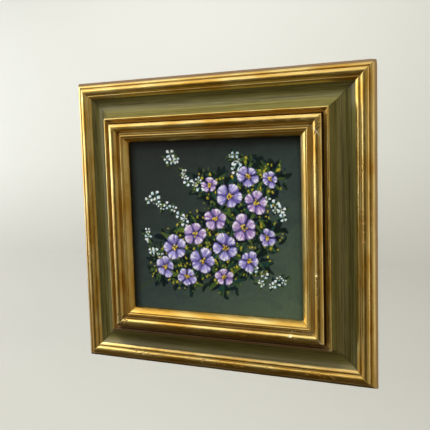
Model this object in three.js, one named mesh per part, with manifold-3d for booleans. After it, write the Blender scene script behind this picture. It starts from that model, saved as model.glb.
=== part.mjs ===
// Square framed oil painting: a wide olive and gilt moulding around a gilt inner moulding and a panel.
// Millimetres, +Z up. The picture faces -Y and the wall behind it is the plane y = 0.
// The origin is the middle of the hanger's rear face, which rests on the nail and the wall.
import * as THREE from 'three';
import { mergeVertices } from 'three/addons/utils/BufferGeometryUtils.js';
import Module from 'manifold-3d';

// Whole frame
const FRAME_SIDE = 340;      // outer edge to outer edge, the same both ways
const WALL_GAP = 2.2;        // back of the wood to the wall, taken up by the hanger
const HANGER_DROP = 24;      // top edge of the frame down to the middle of the hanger
const JOINT_GAP = 0.3;       // clearance between pieces that touch in the real frame
const ARC_STEPS = 10;        // segments along each rounded stretch of a moulding

// Outer moulding: "in" runs inward from the outer edge, "up" rises from the back of the wood
const EDGE_HEIGHT = 9;       // square outer edge that stands off the wall
const BAND_IN = 6.6;         // sloping outer band, from the edge to its lip
const BAND_UP = 18.1;
const BEAD_RADIUS = 4.4;     // half-round bead behind the lip
const BEAD_RISE = 3.9;
const BEAD_IN = 12.6;
const BEAD_BASE = 17.2;
const COVE_START_IN = 20.7;  // olive scoop, from the thin gilt fillet up to the inner crest
const COVE_START_UP = 16.1;
const COVE_END_IN = 45.6;
const CREST_IN = 46.9;       // rounded gilt fillet along the top of the scoop
const CREST_UP = 33.2;
const CREST_RADIUS = 1.25;
const CREST_RISE = 0.9;
const RECESS_IN = 51.9;      // dark red-brown recess between the two mouldings
const RECESS_UP = 30.9;
const RECESS_DEPTH = 6;      // open joint below the recess, before the two woods meet
const OUTER_WIDTH = 52.8;

// Inner moulding, in the same two measures
const INNER_START = OUTER_WIDTH + JOINT_GAP;
const INNER_BEAD_RADIUS = 4.7;
const INNER_BEAD_RISE = 4.1;
const INNER_BEAD_BASE = 34.6;
const RIDGE_IN = 67.3;       // small ridge between the hollow and the sight slope
const RIDGE_UP = 34.8;
const RIDGE_RADIUS = 1.1;
const RIDGE_RISE = 0.9;
const SIGHT_IN = 74.35;      // sight edge, where the picture begins
const SIGHT_UP = 29.2;
const SIGHT_LIP = 2.2;       // thickness of wood in front of the panel at the sight edge
const RABBET_IN = 68;        // wall of the rabbet that holds the panel

// Painted panel and the points that keep it in the rabbet
const PANEL_SIDE = 203.2;
const PANEL_THICKNESS = 3.2;
const PANEL_EASE = 0.35;     // eased edges of the panel
const POINT_THICKNESS = 0.6;
const POINT_TIP_IN = 64;     // tip driven into the rabbet wall
const POINT_TAIL_IN = 78.5;  // tail that laps the back of the panel
const POINT_HALF_WIDTH = 5;
const POINT_SPREAD = 52;     // each point's distance from the middle of its rail
const POINT_CLEARANCE = 0.4;

// Toothed hanger and its two pins
const HANGER_HALF_LENGTH = 23;
const HANGER_PAD_END = 15;   // inner end of each nailed pad, where the strip starts to rise
const HANGER_BRIDGE = 12;    // half length of the raised middle
const HANGER_THICKNESS = 0.9;
const HANGER_TOP = 3.5;
const HANGER_BOTTOM = -5.5;
const TOOTH_PITCH = 3;
const TOOTH_COUNT = 7;
const TOOTH_DEPTH = 2;
const PIN_OFFSET = 19;
const PIN_RADIUS = 0.65;
const PIN_HEAD_RADIUS = 1.9;
const PIN_DEPTH = 9;
const PIN_HOLE_RADIUS = 1;
const PIN_SIDES = 14;

// Places that follow from the sizes above
const PANEL_FRONT = SIGHT_UP - SIGHT_LIP - JOINT_GAP;
const PANEL_BACK = PANEL_FRONT - PANEL_THICKNESS;
const POINT_UP = PANEL_BACK - POINT_CLEARANCE - POINT_THICKNESS;
const SIDES = ['top', 'right', 'bottom', 'left'];

const wasm = await Module();
wasm.setup();

const paint = (colour, roughness, metalness) => new THREE.MeshStandardMaterial({ color: colour, roughness, metalness });
const OLIVE_AND_GILT = paint('#5c5430', 0.45, 0.1);
const GILT = paint('#c79c4e', 0.32, 0.85);
const PAINTED_PANEL = paint('#2c3a34', 0.4, 0);
const PLATED_STEEL = paint('#b59a55', 0.35, 0.9);
const STEEL = paint('#8d8f92', 0.4, 0.9);

// Merges a geometry's shared corners and hands it over as a solid for cutting.
function toSolid(geometry) {
  const bare = geometry.clone();
  bare.deleteAttribute('normal');
  bare.deleteAttribute('uv');
  const merged = mergeVertices(bare, 1e-4);
  const vertProperties = Float32Array.from(merged.attributes.position.array);
  const triVerts = Uint32Array.from(merged.index.array);
  return new wasm.Manifold(new wasm.Mesh({ numProp: 3, vertProperties, triVerts }));
}

// Takes a list of cutters away from a body and returns the result as a geometry.
function cut(body, cutters) {
  let solid = toSolid(body);
  for (const cutter of cutters) {
    solid = solid.subtract(toSolid(cutter));
  }
  const mesh = solid.getMesh();
  const geometry = new THREE.BufferGeometry();
  geometry.setAttribute('position', new THREE.BufferAttribute(Float32Array.from(mesh.vertProperties), 3));
  geometry.setIndex(new THREE.BufferAttribute(Uint32Array.from(mesh.triVerts), 1));
  geometry.computeVertexNormals();
  return geometry;
}

// Draws a half-round that starts and ends on its base line and bulges towards the viewer.
function bead(shape, middleIn, base, radius, rise) {
  shape.lineTo(middleIn - radius, base);
  shape.absellipse(middleIn, base, radius, rise, Math.PI, 0, true);
}

// Section of the outer moulding: edge, sloping band, bead, fillet, scoop, crest and recess.
function outerSection() {
  const shape = new THREE.Shape();
  shape.moveTo(0, 0);
  shape.lineTo(0, EDGE_HEIGHT - 0.5);
  shape.lineTo(0.5, EDGE_HEIGHT + 0.5);
  shape.quadraticCurveTo(3, 14.4, BAND_IN - 0.4, BAND_UP - 0.2);
  shape.lineTo(BAND_IN, BAND_UP);
  shape.lineTo(BAND_IN + 0.8, BAND_UP - 1.4);
  bead(shape, BEAD_IN, BEAD_BASE, BEAD_RADIUS, BEAD_RISE);
  shape.lineTo(BEAD_IN + BEAD_RADIUS + 0.5, BEAD_BASE - 1);
  shape.lineTo(BEAD_IN + BEAD_RADIUS + 0.9, BEAD_BASE + 0.1);
  shape.quadraticCurveTo(18.7, 18.1, 20.4, 16.7);
  shape.lineTo(COVE_START_IN, COVE_START_UP);
  shape.bezierCurveTo(27.5, 8.5, 42.5, 12.5, COVE_END_IN, CREST_UP - 0.1);
  bead(shape, CREST_IN, CREST_UP, CREST_RADIUS, CREST_RISE);
  shape.lineTo(CREST_IN + CREST_RADIUS + 0.2, CREST_UP - 0.8);
  shape.quadraticCurveTo(49.2, RECESS_UP, RECESS_IN, RECESS_UP);
  shape.lineTo(RECESS_IN, RECESS_UP - RECESS_DEPTH);
  shape.lineTo(OUTER_WIDTH, RECESS_UP - RECESS_DEPTH);
  shape.lineTo(OUTER_WIDTH, 0);
  shape.closePath();
  return shape;
}

// Section of the inner moulding: bead, hollow, ridge, sight slope and the rabbet behind it.
function innerSection() {
  const beadIn = INNER_START + INNER_BEAD_RADIUS;
  const hollowIn = beadIn + INNER_BEAD_RADIUS + 0.4;
  const shape = new THREE.Shape();
  shape.moveTo(INNER_START, 0);
  bead(shape, beadIn, INNER_BEAD_BASE, INNER_BEAD_RADIUS, INNER_BEAD_RISE);
  shape.lineTo(hollowIn, INNER_BEAD_BASE - 0.7);
  shape.quadraticCurveTo(64.8, 33, RIDGE_IN - RIDGE_RADIUS, RIDGE_UP - 0.1);
  bead(shape, RIDGE_IN, RIDGE_UP, RIDGE_RADIUS, RIDGE_RISE);
  shape.lineTo(RIDGE_IN + RIDGE_RADIUS + 0.4, RIDGE_UP - 0.6);
  shape.lineTo(RIDGE_IN + RIDGE_RADIUS + 0.9, RIDGE_UP - 0.1);
  shape.quadraticCurveTo(72, 33, SIGHT_IN - 0.4, SIGHT_UP + 0.7);
  shape.lineTo(SIGHT_IN, SIGHT_UP);
  shape.lineTo(SIGHT_IN, SIGHT_UP - SIGHT_LIP);
  shape.lineTo(RABBET_IN, SIGHT_UP - SIGHT_LIP);
  shape.lineTo(RABBET_IN, 0);
  shape.closePath();
  return shape;
}

// Extrudes a section over the frame's full side and cuts both ends to the mitre.
// In the result x is "in", y is "up" and z runs along the rail.
function mitredRail(section) {
  const options = { depth: FRAME_SIDE, bevelEnabled: false, curveSegments: ARC_STEPS };
  const rail = new THREE.ExtrudeGeometry(section, options);
  const corner = rail.attributes.position;
  for (let i = 0; i < corner.count; i += 1) {
    const trim = corner.getX(i) + JOINT_GAP * Math.SQRT1_2;
    corner.setZ(i, corner.getZ(i) > 0 ? FRAME_SIDE - trim : trim);
  }
  rail.computeVertexNormals();
  return rail;
}

// A round cutter that enters the wood from behind, in a rail's own measures.
function pinHole(along) {
  const depth = PIN_DEPTH + 2 * JOINT_GAP;
  const hole = new THREE.CylinderGeometry(PIN_HOLE_RADIUS, PIN_HOLE_RADIUS, 2 * depth, PIN_SIDES);
  hole.translate(HANGER_DROP, 0, along);
  return hole;
}

// A slot cutter in the rabbet wall for the driven end of a point, in a rail's own measures.
function pointSlot(along) {
  const tip = POINT_TIP_IN - POINT_CLEARANCE;
  const open = RABBET_IN + 1;
  const tall = POINT_THICKNESS + 2 * POINT_CLEARANCE;
  const slot = new THREE.BoxGeometry(open - tip, tall, 7);
  slot.translate((open + tip) / 2, POINT_UP + POINT_THICKNESS / 2, along);
  return slot;
}

// A kite-shaped steel point lying flat over the back of the panel.
function framingPoint() {
  const middle = (POINT_TIP_IN + POINT_TAIL_IN) / 2;
  const shape = new THREE.Shape();
  shape.moveTo(POINT_TIP_IN, 0);
  shape.lineTo(middle, -POINT_HALF_WIDTH);
  shape.lineTo(POINT_TAIL_IN, -1);
  shape.lineTo(POINT_TAIL_IN, 1);
  shape.lineTo(middle, POINT_HALF_WIDTH);
  shape.closePath();
  const plate = new THREE.ExtrudeGeometry(shape, { depth: POINT_THICKNESS, bevelEnabled: false });
  plate.rotateX(-Math.PI / 2);
  return plate;
}

// The painted panel with its edges eased all round.
function paintedPanel() {
  const half = PANEL_SIDE / 2 - PANEL_EASE;
  const shape = new THREE.Shape();
  shape.moveTo(-half, -half);
  shape.lineTo(half, -half);
  shape.lineTo(half, half);
  shape.lineTo(-half, half);
  shape.closePath();
  const bevel = { bevelEnabled: true, bevelSize: PANEL_EASE, bevelThickness: PANEL_EASE, bevelSegments: 2 };
  const panel = new THREE.ExtrudeGeometry(shape, { depth: PANEL_THICKNESS - 2 * PANEL_EASE, ...bevel });
  panel.rotateX(Math.PI / 2);
  panel.translate(0, -PANEL_BACK - PANEL_EASE, 0);
  return panel;
}

// The stamped strip: two pads on the wood, a raised middle, teeth below and two pin holes.
function toothedHanger() {
  const low = JOINT_GAP - WALL_GAP;
  const slant = 0.2;
  const shape = new THREE.Shape();
  shape.moveTo(-HANGER_HALF_LENGTH, low);
  shape.lineTo(-HANGER_PAD_END, low);
  shape.lineTo(-HANGER_BRIDGE, -HANGER_THICKNESS);
  shape.lineTo(HANGER_BRIDGE, -HANGER_THICKNESS);
  shape.lineTo(HANGER_PAD_END, low);
  shape.lineTo(HANGER_HALF_LENGTH, low);
  shape.lineTo(HANGER_HALF_LENGTH, low + HANGER_THICKNESS);
  shape.lineTo(HANGER_PAD_END + slant, low + HANGER_THICKNESS);
  shape.lineTo(HANGER_BRIDGE + slant, 0);
  shape.lineTo(-HANGER_BRIDGE - slant, 0);
  shape.lineTo(-HANGER_PAD_END - slant, low + HANGER_THICKNESS);
  shape.lineTo(-HANGER_HALF_LENGTH, low + HANGER_THICKNESS);
  shape.closePath();
  const strip = new THREE.ExtrudeGeometry(shape, { depth: HANGER_TOP - HANGER_BOTTOM, bevelEnabled: false });
  strip.translate(0, 0, HANGER_BOTTOM);
  const cutters = [];
  for (let i = 0; i < TOOTH_COUNT; i += 1) {
    cutters.push(toothNotch((i - (TOOTH_COUNT - 1) / 2) * TOOTH_PITCH));
  }
  for (const side of [-1, 1]) {
    const hole = new THREE.CylinderGeometry(PIN_HOLE_RADIUS, PIN_HOLE_RADIUS, 4 * WALL_GAP, PIN_SIDES);
    hole.translate(side * PIN_OFFSET, 0, 0);
    cutters.push(hole);
  }
  return cut(strip, cutters);
}

// A triangular notch in the hanger's lower edge, in which the nail in the wall sits.
function toothNotch(x) {
  const half = TOOTH_PITCH / 2 - 0.2;
  const shape = new THREE.Shape();
  shape.moveTo(x - half, HANGER_BOTTOM - 0.5);
  shape.lineTo(x + half, HANGER_BOTTOM - 0.5);
  shape.lineTo(x, HANGER_BOTTOM + TOOTH_DEPTH);
  shape.closePath();
  const notch = new THREE.ExtrudeGeometry(shape, { depth: 4 * WALL_GAP, bevelEnabled: false });
  notch.rotateX(Math.PI / 2);
  notch.translate(0, 2 * WALL_GAP, 0);
  return notch;
}

// A round-headed pin turned about its length, with its point in the wood.
function hangerPin() {
  const underHead = HANGER_THICKNESS + 2 * JOINT_GAP - WALL_GAP;
  const crown = -0.05;
  const tip = -WALL_GAP - PIN_DEPTH;
  const outline = [
    [0, tip], [PIN_RADIUS, tip + 2], [PIN_RADIUS, underHead], [PIN_HEAD_RADIUS, underHead],
    [PIN_HEAD_RADIUS * 0.8, (underHead + crown) / 2], [PIN_HEAD_RADIUS * 0.4, crown], [0, crown],
  ];
  const pin = new THREE.LatheGeometry(outline.map(([r, y]) => new THREE.Vector2(r, y)), PIN_SIDES);
  return pin;
}

function named(name, geometry, material) {
  const mesh = new THREE.Mesh(geometry, material);
  mesh.name = name;
  return mesh;
}

// Turns a rail's own measures to the frame's: "in" goes down, "up" goes to the viewer.
const railAxes = new THREE.Matrix4().makeBasis(
  new THREE.Vector3(0, 0, -1),
  new THREE.Vector3(0, -1, 0),
  new THREE.Vector3(-1, 0, 0),
);

// One side of the frame, standing on its outer edge's middle, with everything fixed to it.
function frameSide(name) {
  const middle = FRAME_SIDE / 2;
  const spots = [middle - POINT_SPREAD, middle + POINT_SPREAD];
  const holes = name === 'top' ? [middle - PIN_OFFSET, middle + PIN_OFFSET] : [];
  const outer = cut(mitredRail(outerSection()), holes.map(pinHole));
  const inner = cut(mitredRail(innerSection()), spots.map(pointSlot));
  const rails = new THREE.Group();
  rails.quaternion.setFromRotationMatrix(railAxes);
  rails.position.set(middle, 0, middle);
  rails.add(named(`outer_rail_${name}`, outer, OLIVE_AND_GILT));
  rails.add(named(`inner_rail_${name}`, inner, GILT));
  spots.forEach((along, i) => {
    const point = named(`framing_point_${name}_${i + 1}`, framingPoint(), STEEL);
    point.position.set(0, POINT_UP, along);
    rails.add(point);
  });
  return rails;
}

const frame = new THREE.Group();
frame.position.set(0, -WALL_GAP, HANGER_DROP - FRAME_SIDE / 2);
SIDES.forEach((name, i) => {
  const quarter = new THREE.Group();
  quarter.rotation.y = i * Math.PI / 2;
  quarter.add(frameSide(name));
  frame.add(quarter);
});
frame.add(named('painted_panel', paintedPanel(), PAINTED_PANEL));

const part = new THREE.Group();
part.add(frame);
part.add(named('hanger', toothedHanger(), PLATED_STEEL));
[-1, 1].forEach((side, i) => {
  const pin = named(`hanger_pin_${i + 1}`, hangerPin(), PLATED_STEEL);
  pin.position.x = side * PIN_OFFSET;
  part.add(pin);
});

export default part;
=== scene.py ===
"""Dresses a square framed oil painting: gilt and olive mouldings, a varnished picture and its plain back.

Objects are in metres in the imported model's own frame: the picture faces -Y and the wall would be y = 0.
A moulding's own measures are in millimetres: "along" runs down the rail, "inward" runs from the outer edge
of the frame to the picture, and "up" rises from the back of the wood to the viewer.
"""

import logging
import math
import random
from collections.abc import Sequence
from dataclasses import dataclass
from enum import Enum
from typing import Any, ClassVar

import bpy
import numpy as np
from mathutils import Matrix, Vector


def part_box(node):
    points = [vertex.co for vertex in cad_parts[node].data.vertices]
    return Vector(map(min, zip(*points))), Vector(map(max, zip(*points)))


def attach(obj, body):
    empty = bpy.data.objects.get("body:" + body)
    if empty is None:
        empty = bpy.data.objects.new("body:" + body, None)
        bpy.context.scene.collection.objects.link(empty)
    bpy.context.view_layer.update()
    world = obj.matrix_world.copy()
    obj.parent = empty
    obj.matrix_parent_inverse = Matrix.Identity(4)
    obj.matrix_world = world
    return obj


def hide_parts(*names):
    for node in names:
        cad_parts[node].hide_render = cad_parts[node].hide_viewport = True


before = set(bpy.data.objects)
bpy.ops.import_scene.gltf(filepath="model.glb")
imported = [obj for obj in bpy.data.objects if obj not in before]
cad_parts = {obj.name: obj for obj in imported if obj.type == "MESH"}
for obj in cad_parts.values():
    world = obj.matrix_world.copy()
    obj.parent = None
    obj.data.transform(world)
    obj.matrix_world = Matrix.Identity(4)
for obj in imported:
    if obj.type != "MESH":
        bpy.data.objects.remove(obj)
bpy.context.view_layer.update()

MM = 0.001
SHARP_TURN = 48                  # degrees from which a corner is shaded as an edge
LOG = logging.getLogger("framed_oil_painting")
Array = np.ndarray
Place = tuple[float, float]
Tree = bpy.types.NodeTree
Node = bpy.types.Node


def tone(code: str) -> Array:
    """Gives a hex colour with a leading # as three shares of full light, as a painter mixes them by eye."""
    return np.array([int(code[i:i + 2], 16) / 255 for i in (1, 3, 5)])


def decoded(shares: Array) -> Array:
    """Turns sRGB shares from 0 to 1 to linear ones."""
    return np.where(shares <= 0.04045, shares / 12.92, ((shares + 0.055) / 1.055) ** 2.4)


def linear(code: str) -> tuple[float, ...]:
    """Turns an sRGB hex colour to the linear red, green, blue and alpha that Blender's sockets take."""
    return (*decoded(tone(code)).tolist(), 1.0)


def fill(tree: Tree, node: Node, inputs: dict[str | int, Any]) -> None:
    """Sets a node's inputs or links them.

    Args:
        tree: the node tree that holds the node.
        node: the node whose inputs are filled.
        inputs: for each input's name or number, a value, an output, or a node whose first output in use is
            linked.
    """
    for socket, value in inputs.items():
        if isinstance(value, Node):
            value = next(output for output in value.outputs if output.enabled)
        if isinstance(value, bpy.types.NodeSocket):
            tree.links.new(value, node.inputs[socket])
        else:
            node.inputs[socket].default_value = value


def add(tree: Tree, kind: str, inputs: dict[str | int, Any], **settings: Any) -> Node:
    """Adds a shader node, sets its options and fills its inputs.

    Args:
        tree: the node tree that gets the node.
        kind: Blender's name for the node type, without the leading ShaderNode.
        inputs: what each input takes, as for fill.
        **settings: the node's own options.

    Returns:
        The new node.
    """
    node = tree.nodes.new(f"ShaderNode{kind}")
    for option, value in settings.items():
        setattr(node, option, value)
    fill(tree, node, inputs)
    return node


def parts(tree: Tree, attribute: str) -> bpy.types.bpy_prop_collection:
    """Gives the X, Y and Z outputs of a mesh attribute that holds three numbers."""
    read = add(tree, "Attribute", {}, attribute_name=attribute)
    return add(tree, "SeparateXYZ", {0: read.outputs["Vector"]}).outputs


class Side(Enum):
    """The four sides of the frame, each a quarter turn on from the one before."""

    TOP = "top"
    RIGHT = "right"
    BOTTOM = "bottom"
    LEFT = "left"

    @property
    def turns(self) -> int:
        """How many quarter turns lead from the top to this side."""
        return list(Side).index(self)


class Zone(Enum):
    """The finishes that meet on a moulding, in the order of the mesh's material slots."""

    BARE = 0
    BRONZE = 1
    GILT = 2
    OLIVE = 3
    BOLE = 4


class Layer(Enum):
    """What a mark uncovers, gathers or lays, in the order of the wear attribute's channels: gesso, which one
    mark uses for painted sheen; bole; and dirt, which some marks use for painted shade.
    """

    GESSO_AND_SHEEN = 0
    BOLE = 1
    DIRT_AND_SHADE = 2


@dataclass(frozen=True)
class Square:
    """Where the frame's outer square stands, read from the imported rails."""

    side: float
    middle: Vector
    back: float

    @classmethod
    def from_model(cls) -> "Square":
        """Reads the outer square and the plane of the wood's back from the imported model.

        Returns:
            The square, with its side in millimetres and its middle and back in metres.
        """
        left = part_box("outer_rail_left")[0].x
        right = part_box("outer_rail_right")[1].x
        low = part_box("outer_rail_bottom")[0].z
        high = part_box("outer_rail_top")[1].z
        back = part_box("outer_rail_top")[1].y
        return cls((right - left) / MM, Vector(((left + right) / 2, 0, (low + high) / 2)), back)

    def place(self, side: Side, along: Array, inward: Array, up: Array) -> Array:
        """Turns a rail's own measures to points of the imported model's frame.

        Args:
            side: the side of the frame that the rail is on.
            along: millimetres down the rail.
            inward: millimetres in from the outer edge.
            up: millimetres up from the back of the wood.

        Returns:
            An array of points in metres, one row each.
        """
        half = self.side / 2
        across, height = half - along, half - inward
        for _ in range(side.turns):
            across, height = height, -across
        points = np.stack([across * MM, -up * MM, height * MM], axis=-1)
        return points + np.array([self.middle.x, self.back, self.middle.z])


@dataclass(frozen=True)
class Ripple:
    """The slight unevenness of a surface that was run, sanded and gilded by hand."""

    seed: int
    height: float
    long_wave: float
    cross_wave: float
    waves: int = 9

    def at(self, along: Array, across: Array) -> Array:
        """Gives the unevenness at each place.

        Args:
            along: places down the rail, in millimetres.
            across: places round the section, in millimetres.

        Returns:
            How far each place stands up or down, in the unit of height.
        """
        draw = random.Random(self.seed)
        total = np.zeros(np.broadcast(along, across).shape)
        for _ in range(self.waves):
            run = math.tau / (self.long_wave * draw.uniform(0.5, 2.4))
            cross = math.tau / (self.cross_wave * draw.uniform(0.6, 2.5)) * draw.choice((-1, 1))
            total += np.sin(along * run + across * cross + draw.uniform(0, math.tau))
        return total * self.height / math.sqrt(self.waves)


@dataclass(frozen=True)
class Mark:
    """One marked place on a moulding, in millimetres: a worn place such as a chip, a scratch or a pit, or a
    band of dirt, painted shade or painted sheen.
    """

    side: Side
    along: float
    inward: float
    length: float
    width: float
    depth: float
    shows: Layer
    slant: float = 0.0           # degrees from the run of the rail
    ragged: float = 0.25         # how uneven its edge is
    amount: float = 1.0          # how far the layer below shows

    def strength(self, along: Array, inward: Array) -> Array:
        """Works out how fully the mark covers each place.

        Args:
            along: places down the rail, in millimetres.
            inward: places in from the outer edge, in millimetres.

        Returns:
            Shares from 0 outside the mark to 1 in its middle.
        """
        turn = math.radians(self.slant)
        run, cross = along - self.along, inward - self.inward
        far = (run * math.cos(turn) + cross * math.sin(turn)) / (self.length / 2)
        wide = (cross * math.cos(turn) - run * math.sin(turn)) / (self.width / 2)
        edge = 1 + self.ragged * np.sin(3.1 * far + 1.7 * self.along) * np.sin(2.3 * wide + self.inward)
        reach = np.sqrt(far ** 2 + wide ** 2) / edge
        return np.clip(1.6 - 1.3 * reach, 0, 1)


def pitted(side: Side, along: float, inward: float, reach: Place, count: int, shows: Layer,
           amount: float = 1.0) -> list[Mark]:
    """Scatters small pits over a patch of a moulding.

    Args:
        side: the side of the frame.
        along: the middle of the patch down the rail, in millimetres.
        inward: the middle of the patch in from the outer edge, in millimetres.
        reach: half the patch's length and half its width, in millimetres.
        count: how many pits there are.
        shows: what the pits uncover.
        amount: how far the layer below shows.

    Returns:
        The pits, as marks.
    """
    draw = random.Random(round(along * 10 + inward))
    pits = []
    for _ in range(count):
        size = draw.uniform(0.7, 1.8)
        spot = (along + reach[0] * draw.uniform(-1, 1), inward + reach[1] * draw.uniform(-1, 1))
        pits.append(Mark(side, *spot, size * draw.uniform(1, 2), size, draw.uniform(0.1, 0.26), shows,
                         slant=draw.uniform(-40, 40), amount=amount))
    return pits


class Profile:
    """A moulding's cross-section, drawn stretch by stretch from the corner at its outer back edge."""

    DRAWN_STEP: ClassVar[float] = 0.1    # spacing of the points while the section is eased
    CURVE_STEPS: ClassVar[int] = 24
    BEAD_STEPS: ClassVar[int] = 28
    SLOPE_REACH: ClassVar[int] = 4       # drawn steps to each side from which the slope is read
    SWELL_REACH: ClassVar[int] = 9       # and from which hollows and crests are told apart

    def __init__(self, inward: float, up: float) -> None:
        """Starts the section at a point, in millimetres."""
        self.points: list[Place] = [(inward, up)]
        self.zones: list[Zone] = []

    def line(self, zone: Zone, *corners: Place) -> "Profile":
        """Draws straight stretches through the corners and gives the section back."""
        self.points += corners
        self.zones += [zone] * len(corners)
        return self

    def curve(self, zone: Zone, *controls: Place) -> "Profile":
        """Draws a Bezier curve from the last point.

        Args:
            zone: the finish of the stretch.
            *controls: the control points and, last, the end.

        Returns:
            The section itself.
        """
        start = self.points[-1]
        for i in range(1, self.CURVE_STEPS + 1):
            level = [start, *controls]
            part = i / self.CURVE_STEPS
            while len(level) > 1:
                level = [tuple(a + (b - a) * part for a, b in zip(p, q)) for p, q in zip(level, level[1:])]
            self.line(zone, level[0])
        return self

    def bead(self, zone: Zone, middle: float, base: float, size: Place, until: float = 0.0) -> "Profile":
        """Draws a round that bulges towards the viewer.

        Args:
            zone: the finish of the stretch.
            middle: how far in its middle stands.
            base: the height of its feet.
            size: its half width and its rise.
            until: how many degrees above its inner foot it ends.

        Returns:
            The section itself.
        """
        swing = math.pi - math.radians(until)
        turns = [math.pi - swing * i / self.BEAD_STEPS for i in range(self.BEAD_STEPS + 1)]
        wide, rise = size
        return self.line(zone, *((middle + wide * math.cos(a), base + rise * math.sin(a)) for a in turns))

    def finished(self, softness: float, turn: float, stride: float) -> "Section":
        """Eases every corner a little and keeps just the points that the shape needs.

        Args:
            softness: how far the corners are eased, in millimetres.
            turn: a point is kept when the outline has turned this many degrees.
            stride: a point is kept when the outline has run this far, in millimetres.

        Returns:
            The closed section, its normals and the zone of each of its stretches.
        """
        outline = np.array(self.points)
        dense, zones = [], []
        for start, end, zone in zip(outline, np.roll(outline, -1, axis=0), [*self.zones, Zone.BARE]):
            steps = max(1, round(math.dist(start, end) / self.DRAWN_STEP))
            dense += [start + (end - start) * i / steps for i in range(steps)]
            zones += [zone] * steps
        dense = np.array(dense)
        reach = math.ceil(3 * softness / self.DRAWN_STEP)
        shifts = np.arange(-reach, reach + 1)
        weights = np.exp(-0.5 * (shifts * self.DRAWN_STEP / softness) ** 2)
        eased = sum(w * np.roll(dense, k, axis=0) for w, k in zip(weights / weights.sum(), shifts))
        step = np.roll(eased, -1, axis=0) - eased
        heading = np.unwrap(np.arctan2(step[:, 1], step[:, 0]))
        kept, turned, run = [0], 0.0, 0.0
        for i in range(1, len(eased)):
            turned += abs(heading[i] - heading[i - 1])
            run += float(np.linalg.norm(step[i - 1]))
            if turned > math.radians(turn) or run > stride or zones[i] is not zones[i - 1]:
                kept.append(i)
                turned, run = 0.0, 0.0
        before, after = (np.roll(eased, k * self.SLOPE_REACH, axis=0) for k in (1, -1))
        chord = (after - before) / np.linalg.norm(after - before, axis=1)[:, None]
        normal = np.stack([-chord[:, 1], chord[:, 0]], axis=-1)
        bend = sum(np.roll(eased, k * self.SWELL_REACH, axis=0) for k in (-1, 1)) - 2 * eased
        swell = -np.sum(bend * normal, axis=1)
        return Section(eased[kept], normal[kept], swell[kept], [zones[i] for i in kept])


@dataclass(frozen=True)
class Section:
    """A closed cross-section: its points, outward normals, swell (crests up, hollows down) and zones."""

    points: Array
    normals: Array
    swell: Array
    zones: list[Zone]


def patterned(tree: Tree, attribute: str, sizes: tuple[float, float, float], start: float,
              detail: float = 2.0) -> Node:
    """Adds cloudy variation whose patches have real sizes along the axes of a mesh attribute.

    Args:
        tree: the material's node tree.
        attribute: the attribute that holds a place on the piece, in metres.
        sizes: the patches' size along each axis, in millimetres.
        start: where the pattern starts, so that two patterns differ.
        detail: how many finer sizes are laid over the first.

    Returns:
        The node whose value runs from about 0.25 to 0.75.
    """
    place = add(tree, "Attribute", {}, attribute_name=attribute)
    scale = [1 / (size * MM) for size in sizes]
    scaled = add(tree, "Mapping", {"Vector": place.outputs["Vector"], "Scale": scale,
                                   "Location": (start, 1.7 * start, 0.6 * start)})
    return add(tree, "TexNoise", {"Vector": scaled, "Scale": 1.0, "Detail": detail})


def layered(tree: Tree, ground: str, *layers: tuple[Any, str]) -> Node:
    """Lays colours over a ground one after another.

    Args:
        tree: the material's node tree.
        ground: the hex colour of the ground.
        *layers: how far each colour covers what lies below it, and its hex colour.

    Returns:
        The node that gives the colour seen from above.
    """
    below = linear(ground)
    for share, code in layers:
        below = add(tree, "Mix", {"Factor": share, 6: below, 7: linear(code)}, data_type="RGBA")
    return below


def embossed(tree: Tree, *reliefs: tuple[Any, float, float]) -> Node:
    """Presses fine reliefs into a surface one after another.

    Args:
        tree: the material's node tree.
        *reliefs: each relief's height, its strength and its depth in millimetres.

    Returns:
        The node that gives the surface's slope.
    """
    below = {}
    for height, strength, depth in reliefs:
        bump = add(tree, "Bump", {"Height": height, "Strength": strength, "Distance": depth * MM, **below})
        below = {"Normal": bump}
    return bump


@dataclass(frozen=True)
class Finish:
    """What every finish shares: a name, and a surface shader that takes what the finish lays out."""

    name: str

    def surface(self, tree: Tree) -> dict[str, Any]:
        """Lays out the finish.

        Args:
            tree: the material's node tree.

        Returns:
            What each input of the surface shader takes.
        """
        raise NotImplementedError

    def made(self) -> bpy.types.Material:
        """Builds the material.

        Returns:
            The new material.
        """
        material = bpy.data.materials.new(self.name)
        material.use_nodes = True
        tree = material.node_tree
        fill(tree, tree.nodes["Principled BSDF"], self.surface(tree))
        return material


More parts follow.
